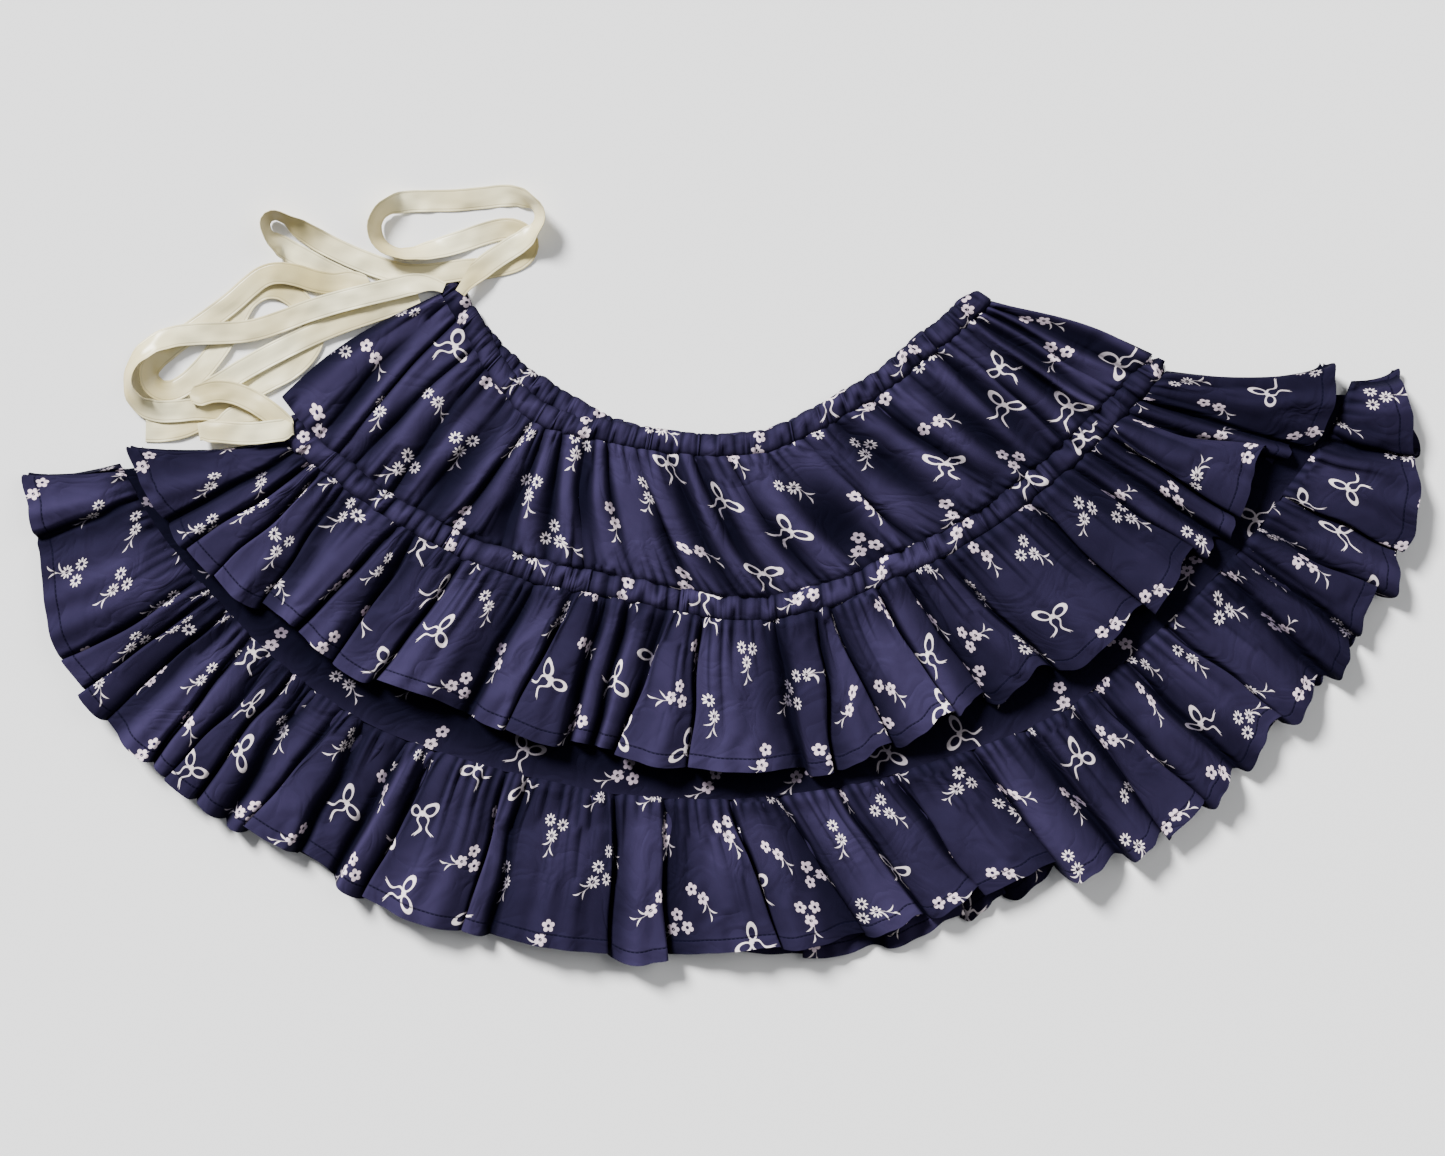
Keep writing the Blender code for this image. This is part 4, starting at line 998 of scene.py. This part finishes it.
def make_yoke(node, folds, top, bases, gain, settings, seed):
    """Make one side of the upper panel, with slanting folds between its two gathered edges."""
    bottom = Edge("middle", SEAM_TUCK)
    shares = row_shares(YOKE_ROWS)
    spots = fold_columns(folds, (edge_at(top, 0.0) + edge_at(bottom, 0.0)) / 2.0, YOKE_PITCH)

    def place(column, row):
        share = shares[row]
        index, across = spots[column]
        angle, distance, span = fold_place(folds, index, across, share, top, bottom, seed)
        width = radians(span) * distance * UNIT
        crest, rise = panel_profile(folds, index, across, share)
        upper_hollow, upper_gather = gather_ridges(index, across, width, share * 1.3, settings)
        from_bottom = (1.0 - share) * 1.7
        lower_hollow, lower_gather = gather_ridges(index + 50, across, width, from_bottom, settings)
        halfway = sin(pi * share)
        # Painted shade: darker in the valleys and at the gathers, in soft patches and on the right;
        # crests painted lighter
        painted_light = mix(0.75, crest ** 1.5, mix(0.45, 1.0, halfway))
        painted_light *= 1.0 - 0.8 * max(upper_hollow, lower_hollow)
        painted_light *= patchy_light(angle, distance, seed, size=0.06, middle=1.02, swing=0.45)

        ends = [mix(fold.top, fold.bottom, share) for fold in (folds[0], folds[-1])]
        angle += YOKE_SIDE_BULGE * side_bulge(angle, share, ends)
        lean = (steady(index, 8) - 0.5) * 0.5 * width * crest * halfway
        angle += degrees(lean / (distance * UNIT))
        height = mix(bases[0], bases[1], share)
        height += rise / MILLIMETRES * gain * crest * mix(0.2, 1.0, halfway ** 0.8)
        height += upper_gather + lower_gather
        soft = crumple(angle, distance, SOFT_WAVE, seed) + 0.2
        height += YOKE_WAVE_HEIGHT * halfway * soft
        height += FINE_WAVE_HEIGHT * crumple(angle, distance, FINE_WAVE, seed + 3.0)
        return fan_point(angle, distance, height), painted_light

    sew(node, len(spots) - 1, YOKE_ROWS, place, settings, YOKE_ROWS // 2)


def pucker(index, across, seed):
    """Return how deep a crease of a casing is, from 0 to 1, at a share of the way across it."""
    deep = mix(0.5, 1.0, steady(index, seed + 2.0)) * mix(0.75, 1.0, steady(index // 5, seed + 4.0))
    kind = steady(index, seed + 3.0)
    if kind < 0.3:
        return deep * smooth_step((0.8 - across) / 0.5)
    if kind < 0.6:
        return deep * smooth_step((across - 0.2) / 0.5)
    return deep


def between_ruches(index, phase, salt):
    """Return a number from -0.5 to 0.5 that goes steadily from one ruche's to the next one's."""
    return mix(steady(index, salt) - 0.5, steady(index + 1, salt) - 0.5, phase)


def make_casing(node, ends, ruches, depth, edge, base, settings, seed):
    """Make a ruched channel: a soft tube with creases of uneven depth across it."""
    columns = ruches * RUCHE_STEPS

    def place(column, row):
        index, step = divmod(column, RUCHE_STEPS)
        phase = step / RUCHE_STEPS
        across = row / CASING_ROWS
        along = index + phase + RUCHE_JITTER * between_ruches(index, phase, seed)
        along += RUCHE_JITTER * noise.noise(Vector((along / 4.0, seed, 1.5)))
        along = min(max(along, 0.0), float(ruches))
        if column in (0, columns):
            along = column / RUCHE_STEPS
        angle = mix(ends[0] - CASING_REACH, ends[1] + CASING_REACH, along / ruches)
        left, right = pucker(index, across, seed), pucker(index + 1, across, seed)
        notch = left * (1.0 - phase) ** 2.0 + right * phase ** 2.0
        fine = (1.0 - abs(sin(pi * (2.0 * phase + steady(index, seed + 6.0))))) ** 2
        fine *= mix(0.2, 1.0, steady(index, seed + 7.0)) * (1.0 - notch)
        puff = sin(pi * across) ** 0.6
        # Painted shade in the creases and towards the casing's seams, in soft patches and on the right
        shade = 0.4 * fine + left * (1.0 - phase) ** 3.2 + right * phase ** 3.2
        painted_light = (1.0 - 0.97 * shade) * mix(0.5, 1.0, puff)
        painted_light *= patchy_light(angle, NOISE_RING, seed, size=0.03, middle=0.98, swing=0.4)

        height = base + PUFF_LIFT
        height += (PUFF_HEIGHT * (1.0 - 0.92 * notch) - FINE_CREASE_DEPTH * fine) * puff
        for size, tall, run, salt in PUFF_WAVES:
            height += tall * crumple(angle, NOISE_RING + run * across, size, seed + salt)
        from_end = min(min(column, columns - column) / RUCHE_STEPS / END_RUCHES, 1.0)
        narrow = 1.0 - sqrt(1.0 - (1.0 - from_end) ** 2)
        pull = RUCHE_PULL * notch - RUCHE_SWELL + END_NARROWING * depth * narrow
        distance = ring(edge, angle) + depth * across + (1.0 - 2.0 * across) * pull
        wander = crumple(angle, NOISE_RING, EDGE_WANDER_SIZE, seed + 30.0)
        distance += EDGE_WANDER * wander * (1.0 - narrow)
        slant = 0.5 * between_ruches(index, phase, seed + 1.0) * (across - 0.5)
        return fan_point(angle + slant, distance, height), painted_light

    sew(node, columns, CASING_ROWS, place, settings, CASING_ROWS // 2)


def make_panel(node, base, settings, seed):
    """Make one side of the lower panel, plain and nearly flat, with soft waves."""
    top, bottom = Edge("middle", LOWER_PANEL_TUCK), Edge("low_seam", -SEAM_GAP / UNIT)

    def place(column, row):
        share, across = row / PANEL_ROWS, column / PANEL_COLUMNS
        bottom_angle = mix(*LOWER_PANEL_BOTTOM_ENDS, across)
        angle = mix(mix(*LOWER_PANEL_TOP_ENDS, across), bottom_angle, share)
        distance = mix(edge_at(top, angle), edge_at(bottom, angle), share)
        size, tall = PANEL_SOFT_WAVE
        height = base + tall * (crumple(angle, 2.0 * NOISE_RING, size, seed) * 0.5 + 0.5)
        size, tall = PANEL_SMALL_WAVE
        height += tall * crumple(angle, distance, size, seed + 2.0)
        height += HEM_RIDGE * smooth_step((share - PANEL_RIDGE_START) / PANEL_RIDGE_RUN)

        # The cloth is painted lighter the farther it lies from the upper ruffle's hem: a painted shadow
        # of the hem
        below = mix(edge_at(top, bottom_angle), edge_at(bottom, bottom_angle), share)
        below -= ring("upper_hem", bottom_angle)
        painted_light = mix(*PANEL_PAINTED_LIGHT, smooth_step(below / PANEL_SHADE))
        return fan_point(angle, distance, height), painted_light

    sew(node, PANEL_COLUMNS, PANEL_ROWS, place, settings, PANEL_ROWS)


def uneven_folds(front, count, rise, seed):
    """Return a back's fold table: folds of uneven width between the ends of its front's table."""
    marks = [0.0]
    for index in range(count):
        marks.append(marks[-1] + mix(0.6, 1.4, steady(index, seed)))
    folds = []
    for index, mark in enumerate(marks):
        share = mark / marks[-1]
        top = mix(front[0].top, front[-1].top, share)
        bottom = mix(front[0].bottom, front[-1].bottom, share)
        folds.append(Fold(top, bottom, rise * mix(0.7, 1.0, steady(index, seed + 1.0)), 0))
    return folds


def ribbon_lean(stop):
    """Return how far the thin ribbon leans at a stop: more than its solid does."""
    return min(max(stop.lean * LEAN_GAIN, -LEAN_MOST), LEAN_MOST)


def layout_point(stop, height):
    """Turn a stop's place on the layout grid and a height into a point."""
    across, down = stop.across - PLAN_CENTRE[0], stop.down - PLAN_CENTRE[1]
    return Vector((across * UNIT, -down * UNIT, height))


def round_bends(points):
    """Join two stops at one place with a half circle, where the ribbon turns back on itself."""
    rounded = [points[0]]
    for index in range(1, len(points)):
        here, there = points[index - 1], points[index]
        if (there.xy - here.xy).length < BEND_REACH:
            heading = (here.xy - points[index - 2].xy).normalized()
            half_rise = (there.z - here.z) / 2.0
            for step in range(1, BEND_STEPS):
                turn = pi * step / BEND_STEPS
                bend = (here + there) / 2.0
                bend.xy += heading * abs(half_rise) * sin(turn)
                bend.z -= half_rise * cos(turn)
                rounded.append(bend)
        rounded.append(there)
    return rounded


def held_slope(slope, beyond, reach):
    """Return the curve's slope at a stop, held back so that a short stretch makes no loop.

    reach is the length of this stretch, and beyond that of the one on the stop's other side.
    """
    slope = slope * (0.5 if reach >= beyond else 0.5 * reach / beyond + 0.5)
    return slope.normalized() * min(slope.length, reach * MOST_SLOPE)


def route_frames(route, width):
    """Return points along a smooth curve through a route, with the lean as their fourth number."""
    points = []
    for stop in route:
        lean = ribbon_lean(stop)
        height = stop.height / MILLIMETRES + width / 2.0 * abs(sin(radians(lean)))
        points.append(Vector((*layout_point(stop, height), lean)))
    points = round_bends(points)
    last = len(points) - 1
    frames = []
    for index in range(last):
        here, there = points[index], points[index + 1]
        before, after = points[max(index - 1, 0)], points[min(index + 2, last)]
        reach = (there.xyz - here.xyz).length
        slope_here = held_slope(there - before, (here.xyz - before.xyz).length, reach)
        slope_there = held_slope(after - here, (after.xyz - there.xyz).length, reach)
        steps = max(1, round(reach / RIBBON_STEP))
        for step in range(steps):
            frame = hermite(here, slope_here, there, slope_there, step / steps)
            frame.w = mix(here.w, there.w, smooth_step(step / steps))
            frames.append(frame)
    frames.append(points[last])
    return frames


def folded_places(route):
    """Return the places where the ribbon is folded over and turns back on itself."""
    places = []
    for here, there in zip(route, route[1:]):
        first = layout_point(here, here.height / MILLIMETRES)
        second = layout_point(there, there.height / MILLIMETRES)
        if (first.xy - second.xy).length < BEND_REACH:
            places.append((first + second) / 2.0)
    return places


def level_across(along):
    """Return the level direction to the left of the way that the ribbon runs."""
    return Vector((-along.y, along.x, 0.0)).normalized()


def make_ribbon(node, route, settings):
    """Make one ribbon tail along its route, kept from twisting and leant up where it turns."""
    frames = route_frames(route, settings.width)
    bends = folded_places(route)
    strips = []
    run = 0.0
    flat = None
    for index, stop in enumerate(frames):
        ahead = frames[min(index + 1, len(frames) - 1)].xyz
        behind = frames[max(index - 1, 0)].xyz
        along = (ahead - behind).normalized()
        level = level_across(along)
        if flat is None:
            flat = level
        flat = (flat - along * flat.dot(along)).normalized()
        if abs(along.z) < 0.5:
            flat = level if level.dot(flat) > 0.0 else -level
        handed = 1.0 if flat.dot(level) > 0.0 else -1.0
        from_fold = min((bend - stop.xyz).length for bend in bends) / (settings.width * 0.42)
        rounded = max(sqrt(1.0 - (1.0 - min(from_fold, 1.0)) ** 2), 0.15)
        width = settings.width * mix(0.5, 1.0, smooth_step(run / GATHERED_END)) * rounded
        wobble = WOBBLE * noise.noise(Vector((run / WOBBLE_LENGTH, len(route) * 1.3, 0.5)))
        lean = stop.w + wobble * smooth_step(run / WOBBLE_LENGTH) * smooth_step(from_fold - 0.5)
        side = Matrix.Rotation(radians(-lean * handed), 3, along) @ flat * width
        upright = abs(sin(radians(lean)))
        lift = width / 2.0 * max(upright - abs(sin(radians(stop.w))), 0.0)
        # Painted sheen: paler in patches along the ribbon, and painted darker where it stands on edge
        painted_sheen = 0.62 + 0.8 * noise.noise(Vector((run / PAINTED_SHEEN_LENGTH, len(route) * 1.7, 3.5)))
        painted_light = min(max(painted_sheen - 0.5 * upright, 0.0), 1.0)
        strips.append((stop.xyz + Vector((0.0, 0.0, lift)), side, painted_light))
        run += (ahead - stop.xyz).length

    def place(column, row):
        centre, side, painted_light = strips[column]
        return centre + side * (0.5 - row / RIBBON_COLUMNS), painted_light

    name = node + "_satin"
    material = satin(name + "_satin", settings)
    piece = grid_piece(
        name, len(frames) - 1, RIBBON_COLUMNS, place, settings.wall, material, RIBBON_COLUMNS // 2,
    )[0]
    dress(piece, node)
    path = [tuple(stop.xyz) for stop in frames]
    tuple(path[0])


class SKIRT_OT_camera(bpy.types.Operator):
    """Place the camera straight above the skirt"""

    bl_idname = "skirt.camera"
    bl_label = "Camera"

    def execute(self, context):
        settings = context.scene.skirt_stage
        lens = bpy.data.cameras.new("camera")
        camera = bpy.data.objects.new("camera", lens)
        context.scene.collection.objects.link(camera)
        lens.sensor_width = SENSOR_WIDTH
        lens.lens = SENSOR_WIDTH * settings.camera_height / settings.view_width
        camera.location = (CAMERA_ACROSS, CAMERA_UP, settings.camera_height)
        context.scene.camera = camera
        return {"FINISHED"}


class SKIRT_OT_ribbons(bpy.types.Operator):
    """Make the two ribbon tails of the drawstring"""

    bl_idname = "skirt.ribbons"
    bl_label = "Ribbon tails"

    def execute(self, context):
        make_ribbon("ribbon_tail_left", LEFT_TAIL, context.scene.skirt_ribbon)
        make_ribbon("ribbon_tail_right", RIGHT_TAIL, context.scene.skirt_ribbon)
        return {"FINISHED"}


class SKIRT_OT_casings(bpy.types.Operator):
    """Make the ruched waist and middle casings"""

    bl_idname = "skirt.casings"
    bl_label = "Casings"

    def execute(self, context):
        cloth = context.scene.skirt_cloth
        waist = (WAIST_CASING_ENDS, cloth.waist_ruches, WAIST_CASING_DEPTH / UNIT)
        middle = (MIDDLE_CASING_ENDS, cloth.middle_ruches, MIDDLE_CASING_DEPTH / UNIT)
        for node, shape, edge, base, seed in (
            ("waist_casing_back", waist, "waist_back", BACK_BASE, 21.0),
            ("waist_casing_front", waist, "waist", FRONT_WAIST_BASE, 22.0),
            ("middle_casing_back", middle, "middle", BACK_BASE, 23.0),
            ("middle_casing_front", middle, "middle", FRONT_MIDDLE_BASE, 24.0),
        ):
            make_casing(node, *shape, edge, base, cloth, seed)
        return {"FINISHED"}


class SKIRT_OT_upper_panels(bpy.types.Operator):
    """Make the front and back of the upper panel"""

    bl_idname = "skirt.upper_panels"
    bl_label = "Upper panels"

    def execute(self, context):
        cloth = context.scene.skirt_cloth
        below_casing = WAIST_CASING_DEPTH / UNIT - SEAM_TUCK
        back_folds = uneven_folds(UPPER_PANEL_FOLDS, count=18, rise=1.3, seed=31.0)
        make_yoke(
            "upper_panel_back", back_folds, Edge("waist_back", below_casing),
            (BACK_BASE, BACK_BASE), 1.0, cloth, 1.5,
        )
        make_yoke(
            "upper_panel_front", UPPER_PANEL_FOLDS, Edge("waist", below_casing),
            (FRONT_WAIST_BASE, FRONT_MIDDLE_BASE), cloth.yoke_gain, cloth, 4.5,
        )
        return {"FINISHED"}


class SKIRT_OT_upper_ruffles(bpy.types.Operator):
    """Make the front and back of the upper ruffle"""

    bl_idname = "skirt.upper_ruffles"
    bl_label = "Upper ruffles"

    def execute(self, context):
        cloth = context.scene.skirt_cloth
        top = Edge("middle", MIDDLE_CASING_DEPTH / UNIT - SEAM_TUCK)
        back_folds = uneven_folds(UPPER_RUFFLE_FOLDS, count=22, rise=1.5, seed=33.0)
        make_ruffle(
            "upper_ruffle_back", back_folds, top, Edge("upper_hem", -BACK_HEM_INSET),
            Heights(BACK_BASE, BACK_BASE, BACK_BASE), UPPER_SWELL, 1.0, cloth, 6.5,
        )
        make_ruffle(
            "upper_ruffle_front", UPPER_RUFFLE_FOLDS, top, Edge("upper_hem", 0.0),
            Heights(FRONT_MIDDLE_BASE, FRONT_MIDDLE_BASE, FRONT_SIDE_BASE), UPPER_SWELL,
            cloth.flute_gain, cloth, 8.5,
        )
        return {"FINISHED"}


class SKIRT_OT_lower_panels(bpy.types.Operator):
    """Make the front and back of the lower panel"""

    bl_idname = "skirt.lower_panels"
    bl_label = "Lower panels"

    def execute(self, context):
        cloth = context.scene.skirt_cloth
        make_panel("lower_panel_back", BACK_LOWER_PANEL_BASE, cloth, 11.5)
        make_panel("lower_panel_front", FRONT_LOWER_PANEL_BASE, cloth, 13.5)
        return {"FINISHED"}


class SKIRT_OT_lower_ruffles(bpy.types.Operator):
    """Make the front and back of the lower ruffle"""

    bl_idname = "skirt.lower_ruffles"
    bl_label = "Lower ruffles"

    def execute(self, context):
        cloth = context.scene.skirt_cloth
        top = Edge("low_seam", -SEAM_TUCK)
        back_folds = uneven_folds(LOWER_RUFFLE_FOLDS, count=26, rise=2.4, seed=35.0)
        make_ruffle(
            "lower_ruffle_back", back_folds, top, Edge("hem_back", 0.0),
            Heights(BACK_LOWER_PANEL_BASE, BACK_BASE, BACK_BASE), LOWER_SWELL, 1.0, cloth, 15.5,
        )
        make_ruffle(
            "lower_ruffle_front", LOWER_RUFFLE_FOLDS, top, Edge("hem", 0.0),
            Heights(FRONT_LOWER_PANEL_BASE, FRONT_HEM_BASE, FRONT_EDGE_BASE), LOWER_SWELL,
            cloth.flute_gain, cloth, 17.5,
        )
        return {"FINISHED"}


class SKIRT_OT_stage(bpy.types.Operator):
    """Add the pale floor and the soft light"""

    bl_idname = "skirt.stage"
    bl_label = "Stage"

    def execute(self, context):
        settings = context.scene.skirt_stage
        shape = bmesh.new()
        bmesh.ops.create_grid(shape, x_segments=1, y_segments=1, size=FLOOR_HALF)
        mesh = bpy.data.meshes.new("floor")
        shape.to_mesh(mesh)
        shape.free()
        floor = bpy.data.objects.new("floor", mesh)
        context.scene.collection.objects.link(floor)
        shader = Shader("floor_paint")
        place = shader.node("ShaderNodeTexCoord").outputs["Object"]
        speckle = shader.node("ShaderNodeTexNoise", None, {"Vector": place, "Scale": 3.0}).outputs[0]
        darker = tuple(0.98 * part for part in settings.floor_colour[:3]) + (1.0,)
        colour = shader.blend(speckle, settings.floor_colour, darker)
        mesh.materials.append(shader.finish(base_color=colour, roughness=0.9))
        for name, strength, softness, where in (
            ("daylight", settings.daylight, DAYLIGHT_SOFTNESS, DAYLIGHT_PLACE),
            ("side_light", settings.side_light, SIDE_LIGHT_SOFTNESS, SIDE_LIGHT_PLACE),
        ):
            lamp = bpy.data.lights.new(name, "SUN")
            lamp.angle = radians(softness)
            lamp.energy = strength
            light = bpy.data.objects.new(name, lamp)
            context.scene.collection.objects.link(light)
            light.location = where
            light.rotation_euler = (-light.location).to_track_quat("-Z", "Y").to_euler()
        world = bpy.data.worlds.new("sky")
        context.scene.world = world
        world.use_nodes = True
        sky = world.node_tree.nodes["Background"]
        sky.inputs["Color"].default_value = SKY_COLOUR
        sky.inputs["Strength"].default_value = settings.sky
        return {"FINISHED"}


class SKIRT_PT_sidebar(bpy.types.Panel):
    """Sidebar panel with the skirt's pieces and settings"""

    bl_idname = "SKIRT_PT_sidebar"
    bl_label = "Ruffled Skirt"
    bl_space_type = "VIEW_3D"
    bl_region_type = "UI"
    bl_category = "Skirt"

    def draw(self, context):
        layout = self.layout
        for operator in OPERATORS:
            layout.operator(operator.bl_idname)
        for name in GROUPS:
            settings = getattr(context.scene, name)
            box = layout.box()
            for key in settings.__annotations__:
                box.prop(settings, key)


GROUPS = {
    "skirt_cloth": SkirtClothSettings,
    "skirt_ribbon": SkirtRibbonSettings,
    "skirt_stage": SkirtStageSettings,
}
OPERATORS = (
    SKIRT_OT_camera,
    SKIRT_OT_ribbons,
    SKIRT_OT_casings,
    SKIRT_OT_upper_panels,
    SKIRT_OT_upper_ruffles,
    SKIRT_OT_lower_panels,
    SKIRT_OT_lower_ruffles,
    SKIRT_OT_stage,
)


def register():
    for kind in (*GROUPS.values(), *OPERATORS, SKIRT_PT_sidebar):
        bpy.utils.register_class(kind)
    for name, group in GROUPS.items():
        setattr(bpy.types.Scene, name, PointerProperty(type=group))


def unregister():
    for name in GROUPS:
        delattr(bpy.types.Scene, name)
    for kind in (SKIRT_PT_sidebar, *reversed(OPERATORS), *reversed(GROUPS.values())):
        bpy.utils.unregister_class(kind)


def main():
    """Make every piece in order."""
    register()
    bpy.ops.skirt.camera()
    bpy.ops.skirt.ribbons()
    bpy.ops.skirt.casings()
    bpy.ops.skirt.upper_panels()
    bpy.ops.skirt.upper_ruffles()
    bpy.ops.skirt.lower_panels()
    bpy.ops.skirt.lower_ruffles()
    bpy.ops.skirt.stage()


if __name__ == "__main__":
    main()
